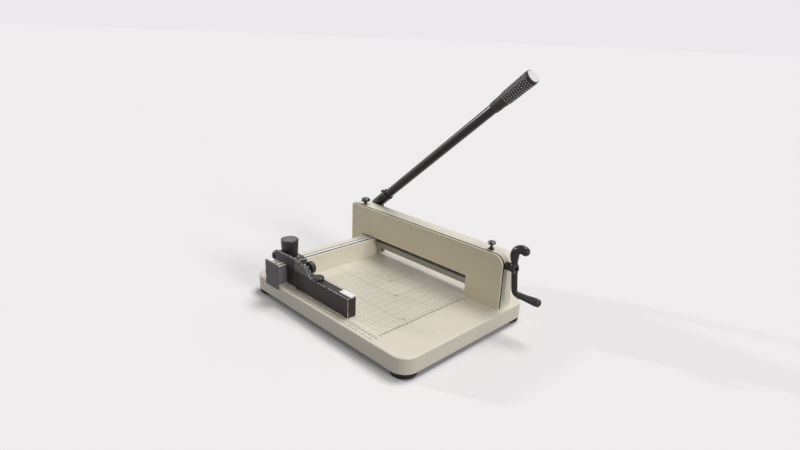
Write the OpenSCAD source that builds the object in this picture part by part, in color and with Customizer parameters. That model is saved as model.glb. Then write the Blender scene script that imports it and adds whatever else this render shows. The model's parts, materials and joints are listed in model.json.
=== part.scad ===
// Stack paper cutter: a table with a screw clamp, a long lever and a slanting blade.
// X runs along the blade to the crank, Y from the gauge side to the lever side, Z up.
// The origin is the middle of the base's outline on the bench.

/* [Base] */
// Distance from the base's left side to the fence
fence_in = 60; // [58:0.5:64]
// Distance from the gantry to the base's right side
base_right = 12.5; // [10:0.5:20]
// Depth of the base, across the blade
base_d = 375; // [370:1:400]
// Height of the skirt
skirt_h = 34; // [32:1:42]
// Radius of the base's corners
base_corner_r = 33; // [24:1:40]
// Radius of the base's top edge
base_edge_r = 3; // [2:0.5:6]
// Thickness of the skirt's wall
skirt_t = 5; // [4:0.5:7]
// Thickness of the table top
table_t = 9; // [8:0.5:12]
// Thickness of the ribs under the table
rib_t = 5; // [4:0.5:7]
// Height of a rubber foot
foot_h = 12; // [8:1:16]
// Diameter of a rubber foot
foot_d = 52; // [40:1:56]
// Distance from the base's side to a foot's centre
foot_inset = 29; // [28:0.5:34]
// Diameter of the screw that holds a foot
foot_screw_d = 6; // [5:0.5:7]

/* [Gantry] */
// Distance from the base's left side to the gantry
gantry_left = 11.5; // [10:0.5:14]
// Width of the gantry's right leg
right_leg = 91.5; // [90:0.5:94]
// Height of the gantry above the table
gantry_h = 119; // [118:0.5:124]
// Distance from the base's back side to the front plate's face
gantry_back = 88.9; // [88:0.1:92]
// Thickness of the front plate
plate_t = 4; // [3:0.5:5]
// Width of the dark gap round the plate's back edge
rim_gap = 1.5; // [1:0.25:2]
// Depth of that gap, in from the casting's outline
rim_in = 3; // [2:0.5:3.5]
// Depth of the casting behind the plate
casting_d = 38.4; // [38:0.1:40]
// Thickness of the casting's rear wall
rear_wall_t = 5.5; // [5:0.1:6]
// Thickness of the casting's top wall
top_wall_t = 6; // [5:0.25:6.5]
// Radius of the gantry's right shoulder
shoulder_r = 22; // [14:1:28]
// Radius of the gantry's left shoulder
left_shoulder_r = 4; // [2:0.5:8]
// Width of the throat, from the left leg to the right one
throat_w = 298; // [294:1:300]
// Height of the window in the front plate
window_h = 46.2; // [45.5:0.1:48]
// Height of the throat under the rear wall
rear_throat_h = 42; // [40:0.5:44]
// Diameter of a gantry bolt
gantry_bolt_d = 8; // [6:0.5:9]
// Diameter of a plate screw
plate_screw_d = 5; // [4:0.5:6]

/* [Cutting stick] */
// Width of the cutting stick
stick_w = 12; // [10:0.5:14]
// Depth of the cutting stick
stick_h = 5; // [4:0.5:6]

/* [Lever] */
// Distance from the gantry's left side to the pivot
pivot_in = 30.5; // [28:0.5:32]
// Height of the pivot above the table
pivot_h = 78; // [77:0.5:79]
// Diameter of the pivot shaft
pivot_d = 20; // [18:0.5:21]
// Wall of the pivot bush
pivot_bush_t = 2.5; // [2:0.25:3]
// Elevation of the raised lever, in degrees
lever_rise = 39.75; // [38:0.25:41]
// Turn of the lever from raised to cut, in degrees
lever_swing = 40; // [38:0.5:41]
// Distance from the pivot to the lever's centre line
lever_offset = 27.5; // [26:0.5:30]
// Middle of the lever, behind the casting's back
lever_out = 15.2; // [15:0.1:17]
// Length of the lever, from the socket's root to the tip
lever_l = 563; // [520:1:600]
// Diameter of the lever's tube
tube_d = 22; // [20:0.5:23]
// Wall of the lever's tube
tube_t = 2; // [1.5:0.25:3]
// Outer diameter of the socket
socket_d = 27.5; // [26:0.5:28]
// Length of the socket
socket_l = 58.5; // [50:0.5:70]
// Length of the grip
grip_l = 108; // [95:1:125]
// Diameter of the grip at its root
grip_root_d = 24.5; // [24:0.5:27]
// Diameter of the grip at its tip
grip_tip_d = 31.5; // [29:0.5:34]
// Radius of the circle that the drive pin runs on
drive_r = 60.7; // [60:0.1:61.5]
// Diameter of the drive pin
drive_pin_d = 10; // [8:0.5:11]
// Diameter of the drive roller
roller_d = 16; // [15:0.5:17]

/* [Blade] */
// Thickness of the blade
blade_t = 4.5; // [4:0.25:5]
// Height of the blade
blade_h = 44; // [40:1:46]
// Thickness of the carrier
carrier_t = 8; // [7.5:0.25:8]
// Height of the carrier
carrier_h = 53; // [50:1:54]
// Sideways travel of the carrier
slice = 15; // [12:0.5:17]
// Diameter of a guide bush
guide_d = 14; // [12:0.5:15]
// Diameter of a guide screw
guide_screw_d = 8; // [6:0.5:9]

/* [Clamp] */
// Thickness of the clamp bar
clamp_t = 15.5; // [14:0.25:16]
// Height of the clamp bar
clamp_h = 24; // [20:1:26]
// Height of the clamp's front face, under its step
clamp_face = 15.5; // [12:0.5:18]
// Depth of the step above that face
clamp_step = 3; // [1:0.5:4]
// Height of the raised clamp's lower edge above the table
clamp_open = 24; // [22:0.5:26]
// Diameter of a clamp screw
clamp_screw_d = 8; // [7:0.25:8.5]
// Distance of a clamp screw from its end of the throat
screw_in = 39; // [34:1:49]
// Lead of the clamp screw's thread
screw_lead = 3; // [2:0.5:4]
// Number of teeth on a mitre gear
gear_teeth = 16; // [12:1:18]
// Pitch radius of a mitre gear
gear_r = 8; // [7.75:0.05:8.1]

/* [Crank] */
// Diameter of the crank shaft
crank_shaft_d = 8; // [7:0.25:8]
// Height of the crank shaft above the table
crank_h = 98; // [97.5:0.25:98.5]
// Radius that the crank's grip turns on
crank_r = 54; // [46:1:60]
// Diameter of the crank's arm
crank_arm_d = 12.5; // [11:0.5:14]
// Diameter of the arm's curled end
crank_curl_d = 19; // [16:0.5:20]
// Length of the crank's grip
crank_grip_l = 50; // [44:1:60]
// Diameter of the crank's grip
crank_grip_d = 17.5; // [15:0.5:20]

/* [Fence] */
// Width of the side fence
fence_w = 38; // [36:0.5:40]
// Height of the side fence
fence_h = 44; // [43:0.25:44.5]
// How far the fence stands out past the base's front
fence_out = 0.3; // [0.2:0.1:2]
// Thickness of the scale strip
scale_t = 1.5; // [1:0.25:1.75]
// Width of the scale strip
scale_w = 14.5; // [12:0.5:15]

/* [Gauge] */
// Reach of the gauge's arm from the fence
arm_l = 218; // [180:1:230]
// Thickness of the arm
arm_t = 21; // [18:0.5:24]
// Height of the arm
arm_h = 42.4; // [40:0.2:44]
// Place of the arm's front face, from the base's front
gauge_y = 23.5; // [22:0.5:60]
// Diameter of the lock knob
lock_knob_d = 40; // [34:1:42]
// Height of the lock knob
lock_knob_h = 41; // [34:1:46]

/* [Hidden] */
$fn = 48;
// Gap between flat faces that slide on each other
slide_gap = 0.3;
// Radial gap between a shaft and its bore
run_gap = 0.05;
// Gap round a screw in its hole
screw_gap = 0.25;
eps = 0.05;

// Widths, added up from left to right
base_w = fence_in + fence_w + throat_w + right_leg + base_right;
plate_front = base_d / 2 - gantry_back;

// Levels
table_z = foot_h + skirt_h;
gantry_top = table_z + gantry_h;
window_top = table_z + window_h;
rear_throat_z = table_z + rear_throat_h;
front_y = -base_d / 2;

// Gantry's planes
gantry_x0 = -base_w / 2 + gantry_left;
gantry_x1 = base_w / 2 - base_right;
plate_back = plate_front + plate_t;
casting_back = plate_back + casting_d;
wall_front = casting_back - rear_wall_t;
ceiling_z = gantry_top - top_wall_t;

// Fence, which the throat starts from
fence_x0 = -base_w / 2 + fence_in;
fence_x1 = fence_x0 + fence_w;
fence_y0 = front_y - fence_out;
fence_top = table_z + fence_h;
throat_x0 = fence_x1;
throat_x1 = throat_x0 + throat_w;

// Blade and carrier, raised
carrier_back = wall_front - slide_gap;
carrier_front = carrier_back - carrier_t;
blade_front = carrier_front - blade_t;
carrier_top = ceiling_z - 1.5;
carrier_z0 = carrier_top - carrier_h;
blade_edge = rear_throat_z;
stick_top = table_z;
carrier_drop = blade_edge - stick_top - 0.7;
carrier_x0 = throat_x0 - 10;
carrier_x1 = throat_x1 + slice + 5;
pocket_x0 = carrier_x0 - slice - 3;
pocket_x1 = carrier_x1 + 3;
pocket_y0 = blade_front - 0.8;

// Lever's pivot and drive
pivot_x = gantry_x0 + pivot_in;
pivot_z = table_z + pivot_h;
swing_half = lever_swing / 2;
drive_x = pivot_x + drive_r * cos(swing_half);
drive_z = pivot_z + drive_r * sin(swing_half);
lever_y = casting_back + lever_out;
pivot_bush_d = pivot_d + 2 * pivot_bush_t;
shaft_front = plate_back + 10;
socket_ahead = 19.3;
lever_x = pivot_x - lever_offset * sin(lever_rise) + socket_ahead * cos(lever_rise);
lever_z = pivot_z + lever_offset * cos(lever_rise) + socket_ahead * sin(lever_rise);

// Guides of the carrier
guide_z = carrier_top - 11;
guide_xs = [throat_x0 + 62, throat_x1 + 5];
slot_w = guide_d + 0.5;
slot_turn = atan2(slice, carrier_drop);
slot_l = norm([slice, carrier_drop]);

// Clamp drive
shaft_y = plate_back + 10;
shaft_z = table_z + crank_h;
clamp_y0 = shaft_y - clamp_t / 2;
clamp_z = table_z + clamp_open;
screw_xs = [throat_x0 + screw_in, throat_x1 - screw_in];
cone_out = gear_r * sqrt(2);
cone_in = cone_out - 4;
gear_module = 2 * gear_r / gear_teeth;
gear_tip = 45 + atan(0.85 * gear_module / cone_out);
gear_root = 45 - atan(1.15 * gear_module / cone_out);
gear_back = cone_out * cos(gear_root) + 2.6;
shelf_t = 4;
shelf_top = shaft_z - gear_back - slide_gap;
clamp_rise = 12;
thrust_ring_h = 3;
thrust_ring_d = 12;
sleeve_d = 13.5;
sleeve_top = shelf_top - shelf_t - thrust_ring_h - 2 * slide_gap - clamp_rise;
screw_low = clamp_z + clamp_rise + 0.5;
nut_l = 9;
nut_d = sleeve_d - 2.5;
tongue_w = 6;
tongue_t = 4;

// Crank
crank_x0 = gantry_x1;
crank_collar_l = 12.5;
crank_x = crank_x0 + crank_collar_l + crank_arm_d / 2 + 1.6;
grip_x0 = crank_x + 16;
grip_z = shaft_z - crank_r;

// Gauge
gauge_y0 = front_y + gauge_y;
gauge_y1 = gauge_y0 + arm_t;
arm_z0 = table_z + 0.6;
arm_z1 = arm_z0 + arm_h;
arm_x1 = fence_x1 + arm_l;
slot_x = fence_x0 + 18;
rail_top = fence_top + scale_t;
slider_z0 = rail_top + 0.5;
slider_z1 = slider_z0 + 5;
slider_x0 = fence_x0 - 6;
slider_y1 = gauge_y0 + 50;
lock_knob_y = gauge_y0 + 25.5;

ivory = "#d6d1bf";
black = "#1c1c1e";
steel = "#b9bcbf";

// Rectangle with round corners, given its low and high corners
module round_rect(lo, hi, r) {
    translate([lo[0] + r, lo[1]]) square([hi[0] - lo[0] - 2 * r, hi[1] - lo[1]]);
    translate([lo[0], lo[1] + r]) square([hi[0] - lo[0], hi[1] - lo[1] - 2 * r]);
    for (x = [lo[0] + r, hi[0] - r], y = [lo[1] + r, hi[1] - r]) translate([x, y]) circle(r);
}

// Box given by its low and high corners
module block(lo, hi) {
    translate(lo) cube(hi - lo);
}

// Cylinder along X or Y, from its start point
module rod_x(p, d, l) {
    translate(p) rotate([0, 90, 0]) cylinder(d = d, h = l);
}

module rod_y(p, d, l) {
    translate(p) rotate([-90, 0, 0]) cylinder(d = d, h = l);
}

module rod_z(p, d, l) {
    translate(p) cylinder(d = d, h = l);
}

// Cap screw pointing down from its head's seat, with a hexagon socket
module cap_screw(d, l) {
    head_h = 0.9 * d;
    difference() {
        union() {
            translate([0, 0, -l]) cylinder(d = d, h = l + eps);
            cylinder(d = 1.7 * d, h = head_h);
        }
        translate([0, 0, head_h - 0.5 * d]) cylinder(d = 0.9 * d, h = d, $fn = 6);
    }
}

// Outline extruded along Y; the outline's first axis is X, its second is Z
module slab_y(y0, y1) {
    translate([0, y1, 0]) rotate([90, 0, 0]) linear_extrude(y1 - y0) children();
}

// Tube swept along points of the XZ plane at one Y, with a radius for each point
function leg(p, i) = let (a = p[max(i - 1, 0)], b = p[min(i + 1, len(p) - 1)]) (b - a) / norm(b - a);

module sweep_xz(y, p, r, sides) {
    rings = len(p);
    pts = [for (i = [0:rings - 1], k = [0:sides - 1])
        let (t = leg(p, i), a = 360 * k / sides)
        [p[i][0] - t[1] * r[i] * cos(a), y + r[i] * sin(a), p[i][1] + t[0] * r[i] * cos(a)]];
    walls = [for (i = [0:rings - 2], k = [0:sides - 1])
        let (a = i * sides + k, b = i * sides + (k + 1) % sides)
        [a, b, b + sides, a + sides]];
    polyhedron(pts, concat(walls, [[for (k = [sides - 1:-1:0]) k],
        [for (k = [0:sides - 1]) (rings - 1) * sides + k]]));
}

// Mitre gear with its cone's tip at the origin and its back at -Z
module mitre_gear(phase, bore) {
    pitch = 360 / gear_teeth;
    tooth = [[-0.33, gear_root], [-0.1, gear_tip], [0.1, gear_tip], [0.33, gear_root]];
    ring = [for (t = [0:gear_teeth - 1], s = tooth) [phase + (t + s[0]) * pitch, s[1]]];
    n = len(ring);
    flank = [for (q = ring) [sin(q[1]) * cos(q[0]), sin(q[1]) * sin(q[0]), -cos(q[1])]];
    pts = concat(cone_in * flank, cone_out * flank,
        [[0, 0, -cone_in * cos(gear_root)], [0, 0, -cone_out * cos(gear_root)]]);
    faces = concat(
        [for (k = [0:n - 1]) [k, (k + 1) % n, n + (k + 1) % n, n + k]],
        [for (k = [0:n - 1]) [k, 2 * n, (k + 1) % n]],
        [for (k = [0:n - 1]) [n + k, n + (k + 1) % n, 2 * n + 1]]);
    difference() {
        union() {
            polyhedron(pts, faces);
            translate([0, 0, -gear_back]) cylinder(r = gear_r - 1.2, h = 3.2);
        }
        translate([0, 0, -gear_back - 1]) cylinder(d = bore, h = gear_back + 2);
    }
}

// Base: a cast table with a skirt, ribs and screw bosses, open underneath

module edge_pillar(r) {
    rotate_extrude($fn = 48) {
        square([r, skirt_h - base_edge_r]);
        square([r - base_edge_r, skirt_h]);
        intersection() {
            translate([r - base_edge_r, skirt_h - base_edge_r]) circle(base_edge_r, $fn = 24);
            square([r, skirt_h]);
        }
    }
}

foot_x = base_w / 2 - foot_inset;
foot_y = base_d / 2 - foot_inset;
foot_spots = [for (x = [-foot_x, foot_x], y = [-foot_y, foot_y]) [x, y]];
left_leg_mid = (gantry_x0 + pocket_x0) / 2;
right_leg_mid = (pocket_x1 + gantry_x1) / 2;
bolt_y = plate_back + 19;
bolt_spots = [for (m = [left_leg_mid, right_leg_mid], s = [-16, 16]) [m + s, bolt_y]];
fence_spots = [for (y = [fence_y0 + 30, (fence_y0 + plate_back) / 2, plate_back - 30])
    [fence_x0 + fence_w / 2, y]];
stick_y = blade_front + blade_t / 2;

module base_table() {
    half = [base_w / 2 - base_corner_r, base_d / 2 - base_corner_r];
    under = foot_h + skirt_h - table_t;
    color(ivory) difference() {
        union() {
            difference() {
                translate([0, 0, foot_h]) hull() for (x = [-1, 1], y = [-1, 1])
                    translate([x * half[0], y * half[1], 0]) edge_pillar(base_corner_r);
                translate([0, 0, foot_h - 1]) linear_extrude(under - foot_h + 1)
                    round_rect([-base_w / 2 + skirt_t, -base_d / 2 + skirt_t],
                        [base_w / 2 - skirt_t, base_d / 2 - skirt_t], base_corner_r - skirt_t);
            }
            for (x = [-base_w / 6, base_w / 6])
                block([x - rib_t / 2, -base_d / 2 + skirt_t - 1, foot_h + 8],
                    [x + rib_t / 2, base_d / 2 - skirt_t + 1, under + 1]);
            for (y = [-base_d / 4, base_d / 12])
                block([-base_w / 2 + skirt_t - 1, y - rib_t / 2, foot_h + 8],
                    [base_w / 2 - skirt_t + 1, y + rib_t / 2, under + 1]);
            for (p = foot_spots) rod_z([p[0], p[1], foot_h], 22, under - foot_h + 1);
            for (p = bolt_spots) rod_z([p[0], p[1], foot_h + 8], 2.6 * gantry_bolt_d, under - foot_h - 7);
        }
        for (p = foot_spots) rod_z([p[0], p[1], foot_h - 1], foot_screw_d - 0.2, 17);
        for (p = bolt_spots) rod_z([p[0], p[1], foot_h], gantry_bolt_d + 2 * screw_gap, skirt_h + 1);
        for (p = fence_spots) rod_z([p[0], p[1], under - 1], 5 + 2 * screw_gap, table_t + 2);
        block([throat_x0 + 0.2, stick_y - stick_w / 2 - 0.1, table_z - stick_h],
            [throat_x1 - 0.2, stick_y + stick_w / 2 + 0.1, table_z + 1]);
    }
}

module feet() {
    color(black) for (p = foot_spots) translate([p[0], p[1], 0]) difference() {
        rotate_extrude() polygon([[0, 0], [foot_d / 2 - 3, 0], [foot_d / 2, 3],
            [foot_d / 2, foot_h - 4], [foot_d / 2 - 3, foot_h - 2], [foot_d / 2 - 3, foot_h],
            [0, foot_h]]);
        translate([0, 0, -1]) cylinder(d = foot_screw_d + 2 * screw_gap, h = foot_h + 2);
        translate([0, 0, -1]) cylinder(d = 15, h = 7.4);
    }
}

module foot_screws() {
    color(steel) for (p = foot_spots) translate([p[0], p[1], 6.4]) mirror([0, 0, 1])
        cap_screw(foot_screw_d - 0.2, 18);
}

module cutting_stick() {
    color("#e9e6dc") block([throat_x0 + 0.4, stick_y - stick_w / 2, table_z - stick_h],
        [throat_x1 - 0.4, stick_y + stick_w / 2, table_z]);
}

// Gantry

module gantry_outline(inset = 0) {
    x0 = gantry_x0 + inset;
    x1 = gantry_x1 - inset;
    z0 = table_z;
    z1 = gantry_top - inset;
    left = left_shoulder_r - inset;
    right = shoulder_r - inset;
    translate([x0, z0]) square([x1 - x0, z1 - z0 - right]);
    translate([x0 + left, z0]) square([x1 - x0 - left - right, z1 - z0]);
    translate([x0, z0]) square([left + 1, z1 - z0 - left]);
    translate([x0 + left, z1 - left]) circle(left);
    translate([x1 - right, z1 - right]) circle(right, $fn = 96);
}

// Points of an arc round a centre, from one angle to another
function arc(centre, r, from, to, steps) =
    [for (k = [0:steps]) let (a = from + k * (to - from) / steps) centre + r * [cos(a), sin(a)]];

module slanted_slot(x, z, w) {
    low = [x - slice, z - carrier_drop];
    side = 90 - slot_turn;
    polygon(concat(arc([x, z], w / 2, side - 90, side + 90, 16),
        arc(low, w / 2, side + 90, side + 270, 16)));
}

module arc_slot(w) {
    turn = swing_half + 1.5;
    pivot = [pivot_x, pivot_z];
    high = pivot + drive_r * [cos(turn), sin(turn)];
    low = pivot + drive_r * [cos(turn), -sin(turn)];
    polygon(concat(arc(pivot, drive_r + w / 2, -turn, turn, 14),
        arc(high, w / 2, turn + 15, turn + 165, 10), arc(pivot, drive_r - w / 2, turn, -turn, 14),
        arc(low, w / 2, 195 - turn, 345 - turn, 10)));
}

plate_screw_spots = [for (x = [gantry_x0 + 12, gantry_x1 - 12], z = [table_z + 30, shaft_z - 26]) [x, z]];
pin_y = plate_back + 14.4;
crank_pin_x = gantry_x1 - 44;

module gantry_casting() {
    color(ivory) difference() {
        union() {
            slab_y(plate_back, plate_back + rim_gap + 1) gantry_outline(rim_in);
            slab_y(plate_back + rim_gap, casting_back) gantry_outline();
        }
        block([throat_x0, plate_back - 1, table_z - 1], [throat_x1, casting_back + 1, rear_throat_z]);
        block([throat_x0, plate_back - 1, table_z - 1], [throat_x1, wall_front, ceiling_z]);
        block([pocket_x0, pocket_y0, table_z - 1], [pocket_x1, wall_front, ceiling_z]);
        for (x = [throat_x0 - tongue_t, throat_x1]) block([x, shaft_y - tongue_w / 2, table_z - 1],
            [x + tongue_t, shaft_y + tongue_w / 2, ceiling_z]);
        slab_y(wall_front - 1, casting_back + 1) {
            for (x = guide_xs) slanted_slot(x, guide_z, slot_w);
            arc_slot(drive_pin_d + 2);
        }
        rod_y([pivot_x, plate_back - 1, pivot_z], 38, 11);
        rod_y([pivot_x, plate_back, pivot_z], pivot_d + 0.4, casting_d + 1);
        rod_y([pivot_x, pin_y + 6, pivot_z], pivot_bush_d, casting_d);
        rod_z([pivot_x, pin_y, pivot_z], 8.4, gantry_top);
        rod_z([crank_pin_x, pin_y, shaft_z], 6.4, gantry_top);
        rod_x([throat_x1 - 1, shaft_y, shaft_z], crank_shaft_d + 4, gantry_x1 - throat_x1 + 2);
        rod_x([crank_pin_x - 8.3, shaft_y, shaft_z], 19, 16.6);
        block([crank_pin_x - 8.3, plate_back - 1, shaft_z - 9.5],
            [crank_pin_x + 8.3, shaft_y, shaft_z + 9.5]);
        for (p = bolt_spots) rod_z([p[0], p[1], table_z - 1], gantry_bolt_d - 0.2, 27);
        for (p = plate_screw_spots) {
            rod_y([p[0], plate_back - 1, p[1]], plate_screw_d + 2 * screw_gap, casting_d + 2);
            rod_y([p[0], casting_back - 6, p[1]], 10, 7);
        }
        for (b = bracket_screw_spots) rod_z([b[0], b[1], ceiling_z - 1], 3.8, 6);
    }
}

module front_plate() {
    color("#a8a38c") difference() {
        slab_y(plate_front, plate_back) gantry_outline();
        block([fence_x0 - 7, plate_front - 1, table_z - 1], [throat_x1, plate_back + 1, window_top]);
        for (p = plate_screw_spots) rod_y([p[0], plate_back - 3, p[1]], plate_screw_d - 0.2, 4);
    }
}

module gantry_bolts() {
    color(steel) for (p = bolt_spots) translate([p[0], p[1], foot_h + 8]) mirror([0, 0, 1])
        cap_screw(gantry_bolt_d - 0.2, skirt_h + 10);
}

module plate_screws() {
    color(black) for (p = plate_screw_spots) translate([p[0], casting_back - 6, p[1]])
        rotate([-90, 0, 0]) cap_screw(plate_screw_d - 0.2, casting_d - 3.2);
}

module pivot_bush() {
    color("#b08d4a") difference() {
        union() {
            rod_y([pivot_x, pin_y + 6, pivot_z], pivot_bush_d, casting_back - pin_y - 6 + eps);
            rod_y([pivot_x, casting_back, pivot_z], pivot_bush_d + 8, 2);
        }
        rod_y([pivot_x, pin_y, pivot_z], pivot_d + 2 * run_gap, casting_d);
    }
}

// Brackets under the ceiling carry the crank shaft and the two clamp screws

web_out = gear_back + slide_gap;
web_t = 5;
bracket_y0 = shaft_y - 8;
bracket_y1 = shaft_y + 7.6;
bracket_screw_at = [5, 14];
bracket_screw_spots = [for (x = screw_xs, s = bracket_screw_at) [x + s, shaft_y]];

module shaft_brackets() {
    far = web_out + web_t;
    shelf_z0 = shelf_top - shelf_t;
    color("#8d9093") for (x = screw_xs) difference() {
        union() {
            block([x - far, bracket_y0, ceiling_z - 4], [x + 18, bracket_y1, ceiling_z]);
            block([x - far, bracket_y0, shelf_z0], [x - web_out, bracket_y1, ceiling_z]);
            block([x - far, bracket_y0, shelf_z0], [x + 8, bracket_y1, shelf_top]);
        }
        rod_z([x, shaft_y, shelf_z0 - 1], clamp_screw_d + 2 * run_gap, shelf_t + 2);
        rod_x([x - far - 1, shaft_y, shaft_z], crank_shaft_d + 4, web_t + 2);
        for (s = bracket_screw_at) rod_z([x + s, shaft_y, ceiling_z - 5], 4.5, 6);
    }
}

module bracket_screws() {
    color(steel) for (b = bracket_screw_spots) translate([b[0], b[1], ceiling_z - 4])
        mirror([0, 0, 1]) cap_screw(3.8, 8.6);
}

module shaft_bush(x, l) {
    difference() {
        rod_x([x, shaft_y, shaft_z], crank_shaft_d + 4, l);
        rod_x([x - 1, shaft_y, shaft_z], crank_shaft_d + 2 * run_gap, l + 2);
    }
}

module shaft_bushes() {
    color("#b08d4a") {
        for (x = screw_xs) shaft_bush(x - web_out - web_t, web_t);
        shaft_bush(throat_x1, 14);
        shaft_bush(gantry_x1 - 16, 16);
    }
}

module crank_collar() {
    color("#3a332c") difference() {
        rod_x([gantry_x1, shaft_y, shaft_z], 17, crank_collar_l);
        rod_x([gantry_x1 - 1, shaft_y, shaft_z], crank_shaft_d + 2 * run_gap, crank_collar_l + 2);
    }
}

// Lever, turning on the pivot shaft behind the gantry

hub_y0 = casting_back + 2.3;
hub_y1 = casting_back + 24;
arm_y1 = hub_y0 + 10;
hub_r = 21;

// Places its children with +Z along the lever, s from the socket's root
module along_lever(s) {
    translate([lever_x + s * cos(lever_rise), lever_y, lever_z + s * sin(lever_rise)])
        rotate([0, 90 - lever_rise, 0]) children();
}

module lever_hub() {
    color(black) difference() {
        union() {
            hull() {
                rod_y([pivot_x, hub_y0, pivot_z], 2 * hub_r, hub_y1 - hub_y0, $fn = 64);
                along_lever(-1) cylinder(d = socket_d - 3, h = 20, $fn = 32);
            }
            hull() {
                rod_y([pivot_x, hub_y0, pivot_z], 2 * hub_r - 4, arm_y1 - hub_y0, $fn = 32);
                rod_y([drive_x, hub_y0, drive_z], 24, arm_y1 - hub_y0, $fn = 32);
            }
            along_lever(0) cylinder(d = socket_d, h = socket_l);
            along_lever(socket_l - 4) cylinder(d1 = socket_d, d2 = socket_d + 1.5, h = 2);
            along_lever(socket_l - 2) cylinder(d = socket_d + 1.5, h = 3);
        }
        rod_y([pivot_x, hub_y0 - 1, pivot_z], pivot_d + 0.04, hub_y1 - hub_y0 + 2);
        rod_y([pivot_x, hub_y1, pivot_z], pivot_d + 10, socket_d);
        rod_y([drive_x, hub_y0 - 1, drive_z], drive_pin_d + 0.04, arm_y1 - hub_y0 + 2);
        along_lever(12) cylinder(d = tube_d + 0.04, h = socket_l);
        along_lever(44) rotate([0, -90, 0]) cylinder(d = 5.1, h = socket_d);
    }
}

module pivot_shaft() {
    color(steel) difference() {
        union() {
            rod_y([pivot_x, shaft_front - slide_gap, pivot_z], pivot_d, hub_y1 - shaft_front + slide_gap);
            rod_y([pivot_x, hub_y1, pivot_z], pivot_d + 9, 4);
            rod_y([pivot_x, plate_back + 1, pivot_z], pivot_d - 6, 10);
        }
        rod_z([pivot_x, pin_y, pivot_z + 3], 8.4, pivot_d);
        rod_y([pivot_x, hub_y1 + 1.5, pivot_z], 10, 4, $fn = 6);
    }
}

module pivot_nut() {
    color(steel) difference() {
        rod_y([pivot_x, plate_back + 1.7, pivot_z], 29, 10 - 1.7 - slide_gap, $fn = 6);
        rod_y([pivot_x, plate_back, pivot_z], pivot_d - 6 + 0.04, 12);
    }
}

module drive_pin() {
    color(steel) {
        rod_y([drive_x, carrier_front + 0.6, drive_z], drive_pin_d, arm_y1 - carrier_front - 0.6);
        rod_y([drive_x, arm_y1, drive_z], drive_pin_d + 6, 3);
    }
}

module drive_roller() {
    color("#b08d4a") difference() {
        rod_y([drive_x, carrier_front + 0.6, drive_z], roller_d, carrier_t - 0.9);
        rod_y([drive_x, carrier_front, drive_z], drive_pin_d + 2 * run_gap, carrier_t + 2);
    }
}

module lever_tube() {
    color(black) difference() {
        along_lever(12.2) cylinder(d = tube_d, h = lever_l - 12.2 - 6);
        along_lever(11) cylinder(d = tube_d - 2 * tube_t, h = lever_l);
        along_lever(44) rotate([0, -90, 0]) cylinder(d = 5.1, h = socket_d);
    }
}

module tube_screw() {
    color("#2a2a2c") along_lever(44) rotate([0, -90, 0]) translate([0, 0, socket_d / 2])
        cap_screw(5, 5);
}

// The grip's outline: a collar, a smooth flare and a knurled barrel with a round lip
grip_s = lever_l - grip_l;
grip_collar = 14;
grip_flare = 42;

module lever_grip() {
    root = grip_root_d / 2;
    tip = grip_tip_d / 2;
    color(black) difference() {
        along_lever(grip_s) rotate_extrude($fn = 64) {
            polygon([[tube_d / 2, 0], [root - 1, 0], [root, 1], [root + 0.6, grip_collar - 1],
                [root, grip_collar], [root + 2.2, grip_flare], [tip - 1, grip_l * 0.72],
                [tip, grip_l - 4], [tip - 1, grip_l], [tip - 4.5, grip_l], [tip - 6, grip_l - 5],
                [tube_d / 2, grip_l - 5.5]]);
        }
        along_lever(grip_s - 1) cylinder(d = tube_d + 0.02, h = grip_l - 4);
    }
}

module grip_plug() {
    color("#e6e6e4") along_lever(lever_l - 6) difference() {
        union() {
            cylinder(d = grip_tip_d - 12.5, h = 3);
            translate([0, 0, -9]) cylinder(d = tube_d - 2 * tube_t, h = 9.5);
        }
        translate([0, 0, 13.5]) sphere(r = 12);
    }
}

// Blade and its carrier, guided by two slanted slots in the rear wall

roller_slot_h = roller_d + 0.8;
roller_x0 = drive_x - 1;
roller_x1 = drive_x + slice + 1;
blade_z1 = blade_edge + blade_h;
blade_screw_xs = [for (k = [0:4]) carrier_x0 + 26 + k * (carrier_x1 - carrier_x0 - 52) / 4];
blade_screw_z = (carrier_z0 + blade_z1) / 2;

module blade_carrier() {
    color("#6f7274") difference() {
        block([carrier_x0, carrier_front, carrier_z0], [carrier_x1, carrier_back, carrier_top]);
        slab_y(carrier_front - 1, carrier_back + 1) {
            for (x = [roller_x0, roller_x1]) translate([x, drive_z]) circle(d = roller_slot_h);
            translate([roller_x0, drive_z - roller_slot_h / 2])
                square([roller_x1 - roller_x0, roller_slot_h]);
        }
        for (x = guide_xs) rod_y([x, carrier_front - 1, guide_z], guide_screw_d - 0.2, carrier_t + 2);
        for (x = blade_screw_xs) rod_y([x, carrier_front - 1, blade_screw_z], 5, carrier_t + 2);
    }
}

module blade() {
    bevel = 9;
    color("#d9dbdc") difference() {
        translate([carrier_x0 + 2, 0, 0]) rotate([90, 0, 90])
            linear_extrude(carrier_x1 - carrier_x0 - 4)
            polygon([[blade_front, blade_edge], [blade_front + 0.3, blade_edge],
                [carrier_front, blade_edge + bevel], [carrier_front, blade_z1], [blade_front, blade_z1]]);
        for (x = blade_screw_xs) {
            rod_y([x, blade_front - 1, blade_screw_z], 5.4, blade_t + 2);
            rod_y([x, blade_front - 1, blade_screw_z], 10, 4);
        }
    }
}

module blade_screws() {
    color(steel) for (x = blade_screw_xs) difference() {
        union() {
            rod_y([x, blade_front + 0.3, blade_screw_z], 9.4, 2.7);
            rod_y([x, blade_front + 2.9, blade_screw_z], 5, blade_t + carrier_t - 4);
        }
        rod_y([x, blade_front - 1, blade_screw_z], 4, 3, $fn = 6);
    }
}

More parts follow.
